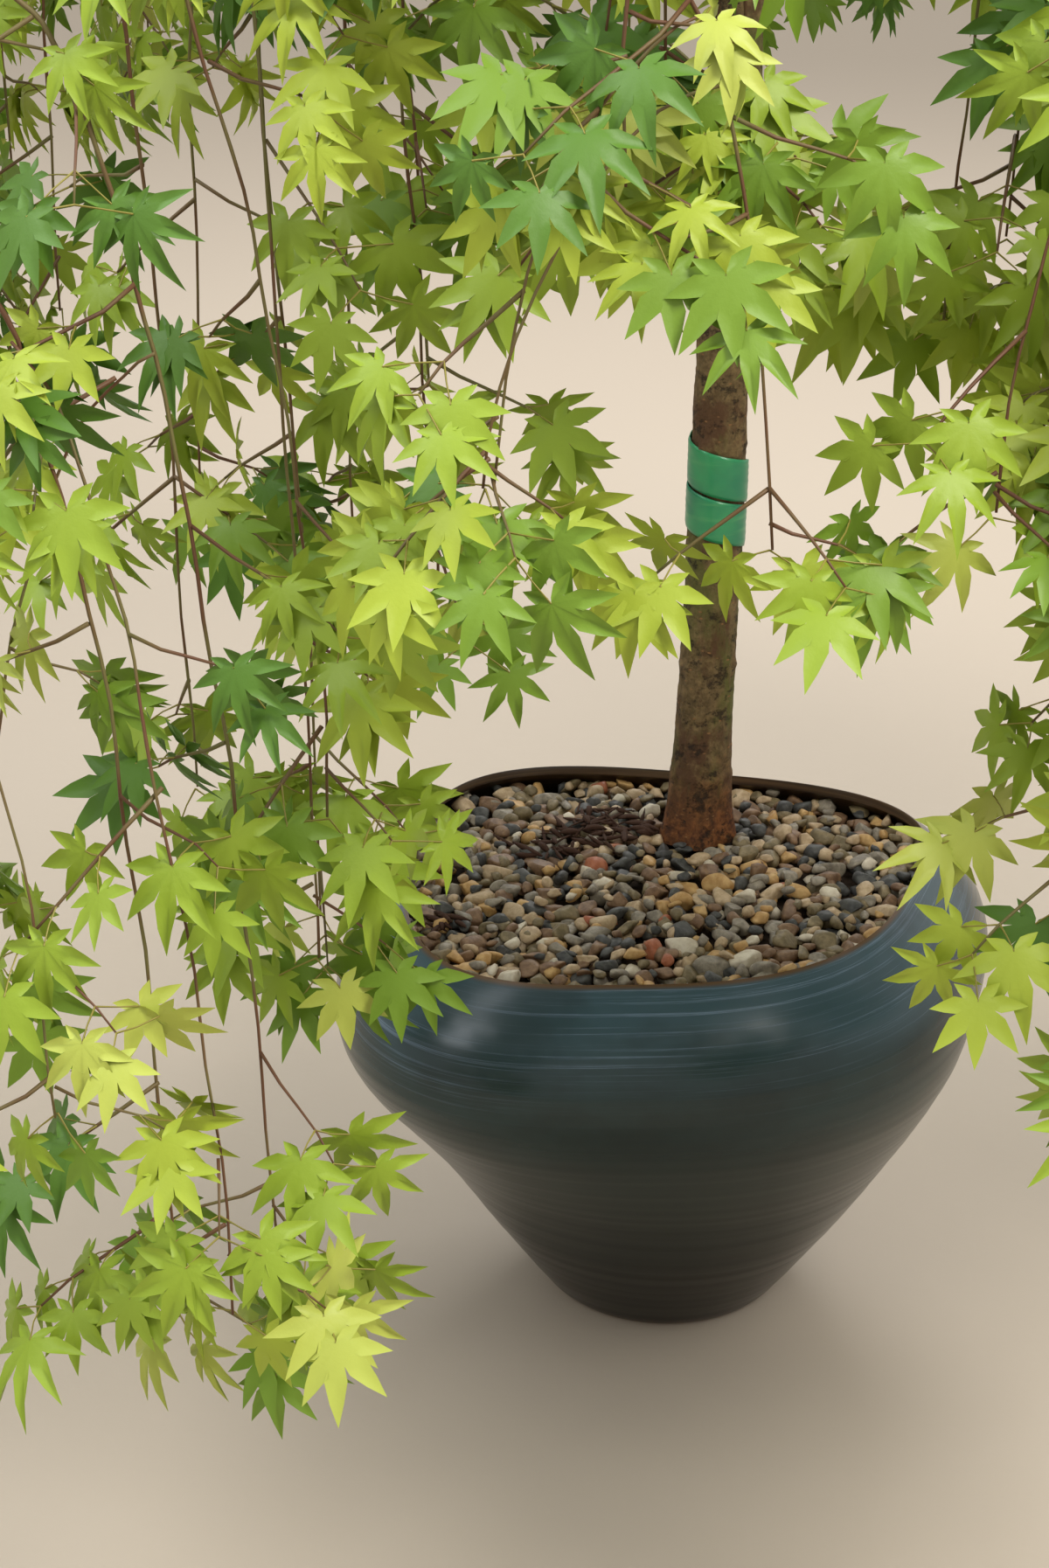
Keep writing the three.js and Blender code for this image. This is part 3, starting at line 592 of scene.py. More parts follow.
def tube(points, radii, sides, ends=True):
    """Corners and triangles of a tube through points, with a radius at each, closed unless ends is false."""
    points = np.asarray(points, float)
    radii = np.broadcast_to(radii, len(points))
    tangents = np.gradient(points, axis=0)
    tangents /= np.linalg.norm(tangents, axis=1)[:, None]
    normals = np.empty_like(points)
    normal = TUBE_SIDE
    for i, tangent in enumerate(tangents):
        normal = unit(normal - tangent * (normal @ tangent))
        normals[i] = normal
    binormals = np.cross(tangents, normals)
    angles = np.arange(sides) * FULL_TURN / sides
    cosines, sines = np.cos(angles)[None, :, None], np.sin(angles)[None, :, None]
    ring = normals[:, None] * cosines + binormals[:, None] * sines
    corners = (points[:, None] + ring * radii[:, None, None]).reshape(-1, 3)
    triangles = ring_triangles(len(points), sides)
    if not ends:
        return corners, triangles
    last = (len(points) - 1) * sides
    start_cap, end_cap = len(corners), len(corners) + 1
    caps = []
    for i in range(sides):
        j = (i + 1) % sides
        caps += [(start_cap, j, i), (end_cap, last + i, last + j)]
    return np.vstack([corners, points[:1], points[-1:]]), np.vstack([triangles, caps])


COAT_ROUGHNESS = 0.12


class Paint:
    """A material built from nodes, with short ways to make the nodes that most of them need."""

    def __init__(self, name, roughness, specular=0.5, coat=0.0):
        self.material = bpy.data.materials.new(name)
        self.material.use_nodes = True
        self.tree = self.material.node_tree
        self.shader = self.tree.nodes["Principled BSDF"]
        self.feed(self.shader, {"Roughness": roughness, "Specular IOR Level": specular})
        self.feed(self.shader, {"Coat Weight": coat, "Coat Roughness": COAT_ROUGHNESS})
        self.place = self.node("ShaderNodeTexCoord", {}).outputs["Object"]

    def feed(self, node, values):
        """Gives each named input a number, a plain colour or the output of another node."""
        for name, value in values.items():
            if isinstance(value, tuple):
                node.inputs[name].default_value = (*value, 1)
            elif isinstance(value, (int, float)):
                node.inputs[name].default_value = value
            else:
                self.tree.links.new(value, node.inputs[name])

    def node(self, kind, values, **settings):
        made = self.tree.nodes.new(kind)
        for name, setting in settings.items():
            setattr(made, name, setting)
        self.feed(made, values)
        return made

    def texture(self, kind, stretch, values):
        """A texture that reads the place. stretch multiplies the coordinates before the scale."""
        mapping = self.node("ShaderNodeMapping", {"Vector": self.place})
        mapping.inputs["Scale"].default_value = stretch
        return self.node(kind, {"Vector": mapping.outputs["Vector"], **values})

    def noise(self, scale, detail=4.0, stretch=(1, 1, 1), roughness=0.55):
        """Noise from 0 to 1."""
        values = {"Scale": scale, "Detail": detail, "Roughness": roughness}
        return self.texture("ShaderNodeTexNoise", stretch, values).outputs["Fac"]

    def cells(self, scale, stretch=(1, 1, 1)):
        """Distance to the nearest of scattered spots."""
        return self.texture("ShaderNodeTexVoronoi", stretch, {"Scale": scale}).outputs["Distance"]

    def height(self):
        """Height above the floor in metres."""
        return self.node("ShaderNodeSeparateXYZ", {0: self.place}).outputs["Z"]

    def ramp(self, value, low, high, start=0.0, end=1.0):
        """Value brought from low..high to start..end, and held there."""
        values = {"Value": value, "From Min": low, "From Max": high, "To Min": start, "To Max": end}
        return self.node("ShaderNodeMapRange", values, interpolation_type="SMOOTHSTEP").outputs["Result"]

    def sum(self, a, b):
        return self.node("ShaderNodeMath", {0: a, 1: b}, operation="ADD").outputs[0]

    def times(self, a, b):
        return self.node("ShaderNodeMath", {0: a, 1: b}, operation="MULTIPLY").outputs[0]

    def blend(self, share, first, second):
        """Colour between two."""
        values = {"Factor": share, 6: first, 7: second}
        return self.node("ShaderNodeMix", values, data_type="RGBA").outputs[2]

    def fade(self, value, low, high, first, second):
        """Colour that goes from one to another as the value goes from low to high."""
        return self.blend(self.ramp(value, low, high), first, second)

    def finish(self, colour, relief, distance, strength):
        """Adds colour and relief, and gives the finished material."""
        made = self.node("ShaderNodeBump", {"Height": relief, "Distance": distance, "Strength": strength})
        self.feed(self.shader, {"Base Color": colour, "Normal": made.outputs["Normal"]})
        return self.material


def paint_glaze():
    """Dark teal glaze with light streaks under the brown lip, partly the glaze's own and partly a painted
    sheen, nearly black at the foot.
    """
    paint = Paint("glaze", 0.22, specular=0.34)
    height = paint.height()
    streaks = paint.noise(1.0, detail=7.0, stretch=(4, 4, 620), roughness=0.75)
    broad = paint.noise(1.0, detail=3.0, stretch=(5, 5, 26))
    cloud = paint.noise(9, detail=4.0, stretch=(1, 1, 1.6))
    wander = paint.sum(paint.ramp(broad, 0.3, 0.7, -0.012, 0.012), height)
    body = paint.fade(wander, 0.02, 0.14, (0.009, 0.008, 0.005), (0.0105, 0.0185, 0.015))
    shoulder = paint.fade(wander, 0.13, 0.215, body, (0.019, 0.04, 0.041))
    # The lighter teal near the lip is partly the glaze's colour and partly a painted sheen of the light from
    # above.
    top = paint.fade(wander, 0.212, 0.246, shoulder, (0.046, 0.086, 0.108))
    # Light blue streaks in a band under the lip: partly the glaze's own streaks, partly a painted reflection
    # of the light from above.
    streak_and_sheen_band = paint.ramp(wander, 0.195, 0.243, 0.02, 0.85)
    streak_sheen_mask = paint.times(paint.ramp(streaks, 0.53, 0.68), streak_and_sheen_band)
    streaks_and_sheen = paint.blend(streak_sheen_mask, top, (0.16, 0.23, 0.32))
    dark = paint.times(paint.ramp(cloud, 0.56, 0.36), 0.45)
    worn = paint.blend(dark, streaks_and_sheen, (0.009, 0.012, 0.011))
    lip = paint.fade(height, 0.2495, 0.2515, worn, (0.11, 0.062, 0.03))
    foot = paint.fade(height, 0.0035, 0.001, lip, (0.1, 0.055, 0.03))
    paint.feed(paint.shader, {"Roughness": paint.ramp(streaks, 0.3, 0.7, 0.17, 0.27)})
    return paint.finish(foot, streaks, 0.0003, 0.08)


def paint_inside():
    """Brown glaze of the lip's edge and the inner wall."""
    paint = Paint("inner_glaze", 0.32, coat=0.3)
    streaks = paint.noise(1.0, detail=5.0, stretch=(6, 6, 260))
    brown = paint.fade(streaks, 0.35, 0.65, (0.035, 0.02, 0.012), (0.12, 0.07, 0.035))
    return paint.finish(brown, streaks, 0.0003, 0.3)


def paint_bark():
    """Olive-grey bark with brown patches, green growth, dark worn specks and a red foot."""
    paint = Paint("bark", 0.72, specular=0.35)
    height = paint.height()
    patches = paint.noise(46, detail=7.0, stretch=(1, 1, 0.7), roughness=0.65)
    fine = paint.noise(190, detail=7.0, stretch=(1, 1, 0.9), roughness=0.75)
    moss = paint.noise(24, detail=6.0, stretch=(1.2, 1.2, 0.5), roughness=0.65)
    specks = paint.noise(85, detail=8.0, stretch=(1, 1, 1.3), roughness=0.8)
    grey = paint.fade(fine, 0.3, 0.7, (0.095, 0.062, 0.026), (0.28, 0.19, 0.085))
    brown = paint.fade(patches, 0.47, 0.6, grey, (0.12, 0.06, 0.028))
    green = paint.blend(paint.ramp(moss, 0.5, 0.64, 0.0, 0.7), brown, (0.11, 0.13, 0.025))
    red = paint.fade(fine, 0.35, 0.65, (0.085, 0.03, 0.013), (0.3, 0.11, 0.034))
    edge = paint.sum(height, paint.ramp(patches, 0.2, 0.8, -0.02, 0.02))
    base = paint.fade(edge, 0.295, 0.25, green, red)
    spots = paint.cells(120, stretch=(1, 1, 2.2))
    spotted = paint.fade(spots, 0.16, 0.08, base, (0.3, 0.15, 0.06))
    worn = paint.ramp(specks, 0.53, 0.62, 0.0, 0.85)
    colour = paint.blend(worn, spotted, (0.028, 0.018, 0.01))
    raised = paint.sum(fine, paint.times(patches, 0.5))
    relief = paint.sum(raised, paint.times(worn, -0.4))
    return paint.finish(colour, relief, 0.0022, 0.8)


def paint_twig():
    """Thin shoots: red-brown, greener in places."""
    paint = Paint("twig_bark", 0.55, specular=0.4)
    patches = paint.noise(16, detail=3.0)
    colour = paint.fade(patches, 0.4, 0.62, (0.14, 0.062, 0.03), (0.16, 0.14, 0.045))
    return paint.finish(colour, paint.noise(420, detail=3.0), 0.0004, 0.3)


def paint_plain(name, colour, roughness, grain, depth, specular=0.45):
    """One base colour with a fine relief of its own."""
    paint = Paint(name, roughness, specular)
    return paint.finish(colour, paint.noise(grain, detail=4.0), depth, 0.5)


def paint_stone(name, first, second):
    """A pebble's colour with its mottling."""
    paint = Paint(name, 0.5, specular=0.4)
    mottle = paint.noise(190, detail=6.0, roughness=0.65)
    colour = paint.fade(mottle, 0.35, 0.68, first, second)
    return paint.finish(colour, paint.noise(700, detail=4.0), 0.0004, 0.5)


def paint_tape():
    """Stretched green tape, lighter where it is drawn thin."""
    paint = Paint("tape", 0.34, specular=0.5, coat=0.15)
    bands = paint.noise(1.0, detail=4.0, stretch=(18, 18, 170))
    patches = paint.noise(30, detail=3.0)
    green = paint.fade(patches, 0.35, 0.68, (0.01, 0.22, 0.11), (0.035, 0.33, 0.13))
    colour = paint.blend(paint.ramp(bands, 0.55, 0.75, 0.0, 0.5), green, (0.11, 0.42, 0.16))
    return paint.finish(colour, bands, 0.0006, 0.5)


def pot_points(angle, radius, height):
    """Places on the pot, round at the foot and squarer at the mouth, for an array of angles."""
    square = smooth_step(SQUARE_FROM, SQUARE_FULL, height)
    ease = 2 / MOUTH_POWER
    u = np.sign(np.cos(angle)) * np.abs(np.cos(angle)) ** ease
    v = np.sign(np.sin(angle)) * np.abs(np.sin(angle)) ** ease
    places = []
    for axis, plain in ((0, np.cos(angle)), (1, np.sin(angle))):
        front = mix(MOUTH_FRONT_LEFT[axis], MOUTH_FRONT_RIGHT[axis], (1 + u) / 2)
        back = mix(MOUTH_BACK_LEFT[axis], MOUTH_BACK_RIGHT[axis], (1 + u) / 2)
        mouth = mix(front, back, (1 + v) / 2) / LIP_RADIUS
        places.append(radius * mix(plain, mouth, square))
    return np.stack([places[0], places[1], np.broadcast_to(height, places[0].shape)], axis=-1)


POT_COLUMNS = 192
RING_ANGLES = np.arange(POT_COLUMNS) * FULL_TURN / POT_COLUMNS
SHOULDER_HEIGHT = 224


def inner_radius(height):
    rim = mix(POT_WALL, LIP_THICKNESS, smooth_step(SHOULDER_HEIGHT, POT_HEIGHT, height))
    return smooth_rows(POT_HEIGHTS, POT_RADII, height) - rim


# Rings of the pot's mesh: radius and height round the shallow hollow under the foot, then heights alone.
# The rows of the wall and the inside are start, end and step.
UNDERSIDE = [(0.3, 0.4), (40, 0.4), (46, 0.0), (60.5, 0.0)]
FOOT_ROWS = [0.0, 0.6, 2.0]
WALL_ROWS = (4, 249, 2.2)
RIM_ROWS = [249.0, 250.2, 251.2, 251.8]
LIP_TOP = 251.8
LIP_INNER_EDGE = 247.0
LIP_ROUNDING = 4.8
LIP_STEPS = 9
INSIDE_ROWS = (246, 218, -2.0)

# Fine rings that throwing leaves in the wall: a line through the noise, its scale and its share of the depth.
THROWN_RINGS = [(0.3, 0.7, 0.21, 1.0), (5.1, 1.7, 0.6, 0.6)]
THROW_DEPTH = 0.28
THROWN_FROM = 6
THROWN_UPTO = 247


def throwing_ridge(height):
    if not THROWN_FROM < height < THROWN_UPTO:
        return 0.0
    rings = (share * noise.noise(Vector((x, y, height * scale))) for x, y, scale, share in THROWN_RINGS)
    return THROW_DEPTH * sum(rings)


def turned_piece(name, profile, material):
    """A piece of the pot from its profile, a list of mean radius and height."""
    rings = [pot_points(RING_ANGLES, radius, height) for radius, height in profile]
    build_piece(name, material, ["pot"], [ring_mesh(rings)])


def build_pot():
    heights = np.concatenate([FOOT_ROWS, np.arange(*WALL_ROWS), RIM_ROWS])
    radii = smooth_rows(POT_HEIGHTS, POT_RADII, heights) + np.array([throwing_ridge(h) for h in heights])
    lip = []
    for turn in np.linspace(0, math.pi, LIP_STEPS):
        share = (1 - math.cos(turn)) / 2
        lip.append((mix(radii[-1], inner_radius(LIP_INNER_EDGE), share), LIP_TOP - LIP_ROUNDING * share**2))
    inside = [(inner_radius(h), h) for h in np.arange(*INSIDE_ROWS)]
    turned_piece("pot_body", UNDERSIDE + list(zip(radii, heights)), paint_glaze())
    turned_piece("pot_lip", lip + inside, paint_inside())


# Colours of the pebbles: name, two tones and share.
STONES = [
    ("slate", (0.038, 0.037, 0.036), (0.1, 0.098, 0.092), 0.15),
    ("grey", (0.18, 0.15, 0.115), (0.35, 0.3, 0.23), 0.19),
    ("olive", (0.145, 0.108, 0.054), (0.27, 0.205, 0.112), 0.17),
    ("brown", (0.15, 0.08, 0.043), (0.28, 0.17, 0.095), 0.16),
    ("tan", (0.4, 0.275, 0.155), (0.6, 0.45, 0.29), 0.17),
    ("ochre", (0.45, 0.25, 0.085), (0.62, 0.4, 0.17), 0.1),
    ("cream", (0.58, 0.49, 0.37), (0.74, 0.66, 0.53), 0.05),
    ("rust", (0.33, 0.09, 0.035), (0.45, 0.16, 0.08), 0.01),
]
# Layers of pebbles: the number wanted, mean radius, height of the middles and fineness of the mesh.
PEBBLE_LAYERS = [(620, 6.7, 238.6, 3), (420, 6.0, 235.5, 2), (420, 4.4, 240.2, 2)]
PEBBLE_FIELD = [(-165, 175), (-165, 160)]
PEBBLE_SIZES = (0.75, 1.3)
PEBBLE_NESTING = 0.83
PEBBLE_AT_TRUNK = 0.55
PEBBLE_SCATTER = 1.8
TRIES_PER_PEBBLE = 30
TRUNK_KEEP = 21.5
FLATS_PER_PEBBLE = 9
FLAT_DEPTHS = (0.46, 0.8)
FLAT_SHARE = 0.94
PEBBLE_AXES = [(1.0, 1.4), (0.75, 1.0), (0.55, 0.8)]
PEBBLE_LEAN = 0.8


def unit_ball(fineness):
    """Corners and triangles of a ball of 20 faces, split in four for each step of fineness past the first."""
    shell = bmesh.new()
    bmesh.ops.create_icosphere(shell, subdivisions=fineness, radius=1)
    corners = np.array([v.co[:] for v in shell.verts])
    triangles = np.array([[v.index for v in face.verts] for face in shell.faces])
    shell.free()
    return corners, triangles


def pebble(ball, size, chance):
    """A worn stone: a ball with a few flats, drawn out and turned."""
    shape = ball
    for _ in range(FLATS_PER_PEBBLE):
        flat = unit(chance.normal(size=3))
        over = np.maximum(shape @ flat - chance.uniform(*FLAT_DEPTHS), 0)
        shape = shape - over[:, None] * flat * FLAT_SHARE
    shape = shape * size * np.array([chance.uniform(*axis) for axis in PEBBLE_AXES])
    lean, spin = chance.uniform(-PEBBLE_LEAN, PEBBLE_LEAN), chance.uniform(0, FULL_TURN)
    tilt = np.array([[1, 0, 0], [0, math.cos(lean), -math.sin(lean)], [0, math.sin(lean), math.cos(lean)]])
    turn = np.array([[math.cos(spin), -math.sin(spin), 0], [math.sin(spin), math.cos(spin), 0], [0, 0, 1]])
    return shape @ tilt.T @ turn.T


def mound_height(x, y):
    share = np.hypot(x, y) / LIP_RADIUS
    return GRAVEL_MOUND * (1 - share * share)


MOUTH_STEPS = 181


def inside_mouth(x, y, radius):
    """True where a pebble of this radius stays inside the wall at gravel height."""
    angles = np.linspace(0, FULL_TURN, MOUTH_STEPS)
    wall = pot_points(angles, inner_radius(GRAVEL_EDGE), GRAVEL_EDGE)
    reach = np.hypot(wall[:, 0], wall[:, 1])
    bearing = np.arctan2(wall[:, 1], wall[:, 0])
    order = np.argsort(bearing)
    at = np.interp(math.atan2(y, x), bearing[order], reach[order], period=FULL_TURN)
    return math.hypot(x, y) <= at - radius


def off_trunk(x, y):
    return math.hypot(x - TRUNK_X[0], y - TRUNK_Y[0])


def build_gravel():
    chance = np.random.default_rng(5)
    parts = {name: [] for name, *_ in STONES}
    shares = np.array([share for *_, share in STONES])
    for wanted, size, level, fineness in PEBBLE_LAYERS:
        ball, faces = unit_ball(fineness)
        placed = np.empty((0, 3))
        for _ in range(wanted * TRIES_PER_PEBBLE):
            if len(placed) == wanted:
                break
            x, y = (chance.uniform(*span) for span in PEBBLE_FIELD)
            radius = size * chance.uniform(*PEBBLE_SIZES)
            if off_trunk(x, y) < TRUNK_KEEP + radius * PEBBLE_AT_TRUNK or not inside_mouth(x, y, radius):
                continue
            apart = np.hypot(placed[:, 0] - x, placed[:, 1] - y)
            if (apart < (placed[:, 2] + radius) * PEBBLE_NESTING).any():
                continue
            placed = np.vstack([placed, [x, y, radius]])
            name = STONES[chance.choice(len(STONES), p=shares / shares.sum())][0]
            z = level + mound_height(x, y) + chance.uniform(-PEBBLE_SCATTER, PEBBLE_SCATTER)
            parts[name].append((pebble(ball, radius, chance) + [x, y, z], faces))
    for name, first, second, _ in STONES:
        stone = paint_stone(f"stone_{name}", first, second)
        build_piece(f"pebbles_{name}", stone, ["gravel"], parts[name])


BED_HEIGHT = 232.0
BED_ROWS = 20
BED_LUMPS = 1.6
BED_LUMP_SCALE = 0.09


def build_bed():
    """Dark mix between the pebbles."""
    rings = []
    for share in np.linspace(1.0, 0.02, BED_ROWS):
        ring = pot_points(RING_ANGLES, inner_radius(GRAVEL_EDGE) * share, BED_HEIGHT)
        for corner in ring:
            lumps = BED_LUMPS * noise.noise(Vector(corner * BED_LUMP_SCALE))
            corner[2] += mound_height(corner[0], corner[1]) + lumps
        rings.append(ring)
    paint = paint_plain("bed", (0.035, 0.022, 0.014), 0.95, 260, 0.002, 0.2)
    build_piece("gravel_bed", paint, ["gravel"], [ring_mesh(rings)])


# Heaps of bark shreds: x, y, spread and number.
CHIP_PLACES = [(-34, 60, 26, 60), (-58, 30, 22, 26), (-118, -64, 14, 12), (-10, 62, 12, 16)]
CHIP_LEVEL = 242
CHIP_SPREAD = 0.45
CHIP_OFF_TRUNK = 4
CHIP_LENGTHS = (7, 22)
CHIP_TILTS = (-0.2, 0.35)
CHIP_LIFTS = (-1, 2.2)
CHIP_BENDS = (-1.5, 1.5)
CHIP_WIDTHS = (0.5, 2.2)
CHIP_POINT = 0.75
CHIP_STEPS = 6
CHIP_SIDES = 5


def build_chips():
    """Shreds of dark bark left on the gravel beside the trunk."""
    chance = np.random.default_rng(9)
    chips = []
    along = np.linspace(-0.5, 0.5, CHIP_STEPS)
    for x, y, spread, count in CHIP_PLACES:
        for _ in range(count):
            cx, cy = (middle + chance.normal() * spread * CHIP_SPREAD for middle in (x, y))
            if off_trunk(cx, cy) < TRUNK_KEEP + CHIP_OFF_TRUNK:
                continue
            length, bearing = chance.uniform(*CHIP_LENGTHS), chance.uniform(0, FULL_TURN)
            way = np.array([math.cos(bearing), math.sin(bearing), chance.uniform(*CHIP_TILTS)])
            middle = np.array([cx, cy, CHIP_LEVEL + mound_height(cx, cy) + chance.uniform(*CHIP_LIFTS)])
            line = middle + along[:, None] * way * length
            line[:, 2] += np.cos(along * math.pi) * chance.uniform(*CHIP_BENDS)
            width = chance.uniform(*CHIP_WIDTHS) * (1 - CHIP_POINT * np.abs(along * 2) ** 2)
            chips.append(tube(line, width, CHIP_SIDES))
    paint = paint_plain("shreds", (0.055, 0.024, 0.014), 0.85, 300, 0.001, 0.3)
    build_piece("bark_shreds", paint, [], chips)


TRUNK_COLUMNS = 72
TRUNK_RING_STEP = 2.2
TRUNK_TOP_RISE = 1.5
NODE_SPACING = 62
NODE_TURN = 1.7


def noise_at(place, across, along):
    """Noise on the trunk, with one scale across it and one along it."""
    return noise.noise(Vector((place.x * across, place.y * across, place.z * along)))


def bark_relief(angle, height, radius):
    """How far the bark stands out on the trunk."""
    place = Vector((math.cos(angle) * radius, math.sin(angle) * radius, height))
    lumps = 0.9 * noise_at(place, 0.06, 0.03)
    cracks = 0.9 * max(noise_at(place, 0.32, 0.09), 0)
    grain = 0.45 * noise_at(place, 0.9, 0.35)
    node = math.floor(height / NODE_SPACING)
    from_node = height - (node + 0.5) * NODE_SPACING
    ring = 0.55 * math.exp(-(from_node / 1.6) ** 2)
    turned = (angle - node * NODE_TURN) % math.pi - math.pi / 2
    bud = 1.7 * math.exp(-(from_node / 3.2) ** 2 - (turned * radius / 3.4) ** 2)
    toes = 0.085 * radius * math.cos(5 * angle + 1.2) * math.exp(-(height - TRUNK_HEIGHTS[0]) / 26)
    return lumps - cracks + grain + ring + bud + toes


def trunk_mesh():
    heights = np.arange(TRUNK_HEIGHTS[0], TRUNK_HEIGHTS[-1], TRUNK_RING_STEP)
    centres = [smooth_rows(TRUNK_HEIGHTS, values, heights) for values in (TRUNK_X, TRUNK_Y, TRUNK_RADII)]
    angles = np.arange(TRUNK_COLUMNS) * FULL_TURN / TRUNK_COLUMNS
    corners = []
    for height, x, y, radius in zip(heights, *centres):
        for angle in angles:
            reach = radius + bark_relief(angle, height, radius)
            corners.append((x + reach * math.cos(angle), y + reach * math.sin(angle), height))
    tip = len(corners)
    last = tip - TRUNK_COLUMNS
    cap = [(last + i, last + (i + 1) % TRUNK_COLUMNS, tip) for i in range(TRUNK_COLUMNS)]
    corners.append((TRUNK_X[-1], TRUNK_Y[-1], TRUNK_HEIGHTS[-1] + TRUNK_TOP_RISE))
    return np.array(corners), np.vstack([ring_triangles(len(heights), TRUNK_COLUMNS), cap])


BOUGH_ROWS = 90
BOUGH_SIDES = 16
BOUGH_COLLAR = 0.55
BOUGH_COLLAR_LENGTH = 14
BOUGH_NODE_SPACING = 48
BOUGH_NODE_SHIFT = 9


def bough_mesh(bough, number):
    """A bough with a collar where it leaves the trunk, fine relief and a ring at each node."""
    shares = np.linspace(0, 1, BOUGH_ROWS)
    line = bough.curve(shares)
    length = bough.length()
    collar = 1 + BOUGH_COLLAR * np.exp(-shares * length / BOUGH_COLLAR_LENGTH)
    corners, triangles = tube(line, mix(bough.radius, bough.tip_radius, shares) * collar, BOUGH_SIDES)
    for i, corner in enumerate(corners[:-2]):
        row = i // BOUGH_SIDES
        place = Vector(corner)
        relief = 0.5 * noise.noise(place * 0.08) + 0.35 * noise.noise(place * 0.3)
        along = shares[row] * length + number * BOUGH_NODE_SHIFT
        from_node = along % BOUGH_NODE_SPACING - BOUGH_NODE_SPACING / 2
        relief += 0.6 * math.exp(-(from_node / 1.8) ** 2)
        corners[i] = corner + unit(corner - line[row]) * relief
    return corners, triangles


def build_bark(boughs):
    parts = [trunk_mesh()] + [bough_mesh(bough, number) for number, bough in enumerate(boughs)]
    nodes = ["trunk"] + [f"bough_{mass.name}" for mass in MASSES]
    build_piece("bark", paint_bark(), nodes, parts)


TAPE_STEPS = 192
TAPE_EDGE_STEPS = 13
TAPE_LIFT = 0.75
TAPE_EDGE_THINNER = 0.35
TAPE_UNDER = 0.55
TAPE_OVER = 0.15


def build_tape():
    """Two turns of tape, drawn tight round the trunk."""
    shares = np.linspace(0, 1, TAPE_EDGE_STEPS)
    section = [(share, TAPE_LIFT - TAPE_EDGE_THINNER * abs(share * 2 - 1) ** 6) for share in shares]
    under = trunk_row(TRUNK_RADII, TAPE_LOW) + TAPE_UNDER
    rings = [[] for _ in range(TAPE_STEPS + 1)]
    for step, ring in enumerate(rings):
        wound = step / TAPE_STEPS * TAPE_TURNS
        angle = TAPE_START - wound * FULL_TURN
        outward = np.array([math.cos(angle), math.sin(angle), 0])
        for side in (0, 1):
            for share, lift in section if side else reversed(section):
                height = TAPE_LOW + wound * TAPE_TURN_RISE + share * TAPE_WIDTH
                crease = 0.22 * noise.noise(Vector((angle * 2.1, share * 7, 0.5)))
                rib = 0.1 * math.sin(share * 40 + angle)
                radius = under + side * (lift + crease + rib + TAPE_OVER)
                ring.append(trunk_centre(height) + radius * outward)
    build_piece("tape_wrap", paint_tape(), ["tie_tape"], [ring_mesh(rings)])


SHOOT_STEP = 14
SHOOT_FEWEST_STEPS = 6
SHOOT_THINNER = 0.58
SHOOT_TIP_RADIUS = 0.55
SHOOT_SWAY = 3.5
SHOOT_SWAY_SCALE = 0.02
SHOOT_NODE_SPACING = 46
SHOOT_KNOT = 0.22
SHOOT_KNOT_LENGTH = 3.0
SHOOT_SIDES = 6
TWIG_ROWS = 5
TWIG_SIDES = 4
STALK_SIDES = 3
STALK_RADII = [0.5, 0.36, 0.42]
STALK_ARCH = 0.04


def shoot_mesh(limb, number):
    """A stem, strand or fork that sways a little along its curve and thickens at its nodes."""
    length = limb.length()
    shares = np.linspace(0, 1, max(int(length / SHOOT_STEP), SHOOT_FEWEST_STEPS))
    along = shares * length * SHOOT_SWAY_SCALE
    seeds = [(number * 3.7, axis * 9.1) for axis in range(3)]
    sway = np.array([[noise.noise(Vector((place, *seed))) for seed in seeds] for place in along])
    line = limb.curve(shares) + sway * SHOOT_SWAY * np.minimum(shares * 8, 1)[:, None]
    from_node = shares * length % SHOOT_NODE_SPACING - SHOOT_NODE_SPACING / 2
    knots = 1 + SHOOT_KNOT * np.exp(-((from_node / SHOOT_KNOT_LENGTH) ** 2))
    taper = mix(limb.radius * SHOOT_THINNER, SHOOT_TIP_RADIUS, shares)
    return tube(line, taper * knots, SHOOT_SIDES)


def twig_mesh(limb):
    shares = np.linspace(0, 1, TWIG_ROWS)
    return tube(limb.curve(shares), mix(limb.radius, limb.tip_radius, shares), TWIG_SIDES)


def stalk_mesh(hub, root, face, size):
    bend = mix(root, hub, 0.5) + face * size * STALK_ARCH
    return tube([root, bend, hub], STALK_RADII, STALK_SIDES, ends=False)


def build_shoots(shoots, twigs, leaves):
    """Stems, strands, side twigs and leaf stalks."""
    thick = [shoot_mesh(limb, number) for number, limb in enumerate(shoots)]
    thin = [twig_mesh(limb) for limb in twigs]
    stalks = [stalk_mesh(hub, root, face, size) for hub, root, _, _, face, size, _, _ in leaves]
    build_piece("shoots", paint_twig(), FOLIAGE_NODES, thick)
    build_piece("twigs", paint_twig(), FOLIAGE_NODES, thin)
    paint = paint_plain("stalk", (0.3, 0.26, 0.05), 0.5, 300, 0.0002)
    build_piece("leaf_stalks", paint, FOLIAGE_NODES, stalks)


# Lobes of a leaf: angle from the middle lobe, in degrees, and length. A lobe's outline has shares of its
# length and half width.
LEAF_LOBES = [(-126, 0.42), (-81, 0.76), (-39, 0.94), (0, 1.0), (39, 0.94), (81, 0.76), (126, 0.42)]
LEAF_HEEL_DEGREES = 165
LEAF_HEEL = 0.07
LEAF_NOTCH = 0.34
LOBE_FOLD = 0.44
LOBE_OUTLINE = [(0.46, -1), (0.72, -0.62), (0.46, 1), (0.72, 0.62), (1, 0)]


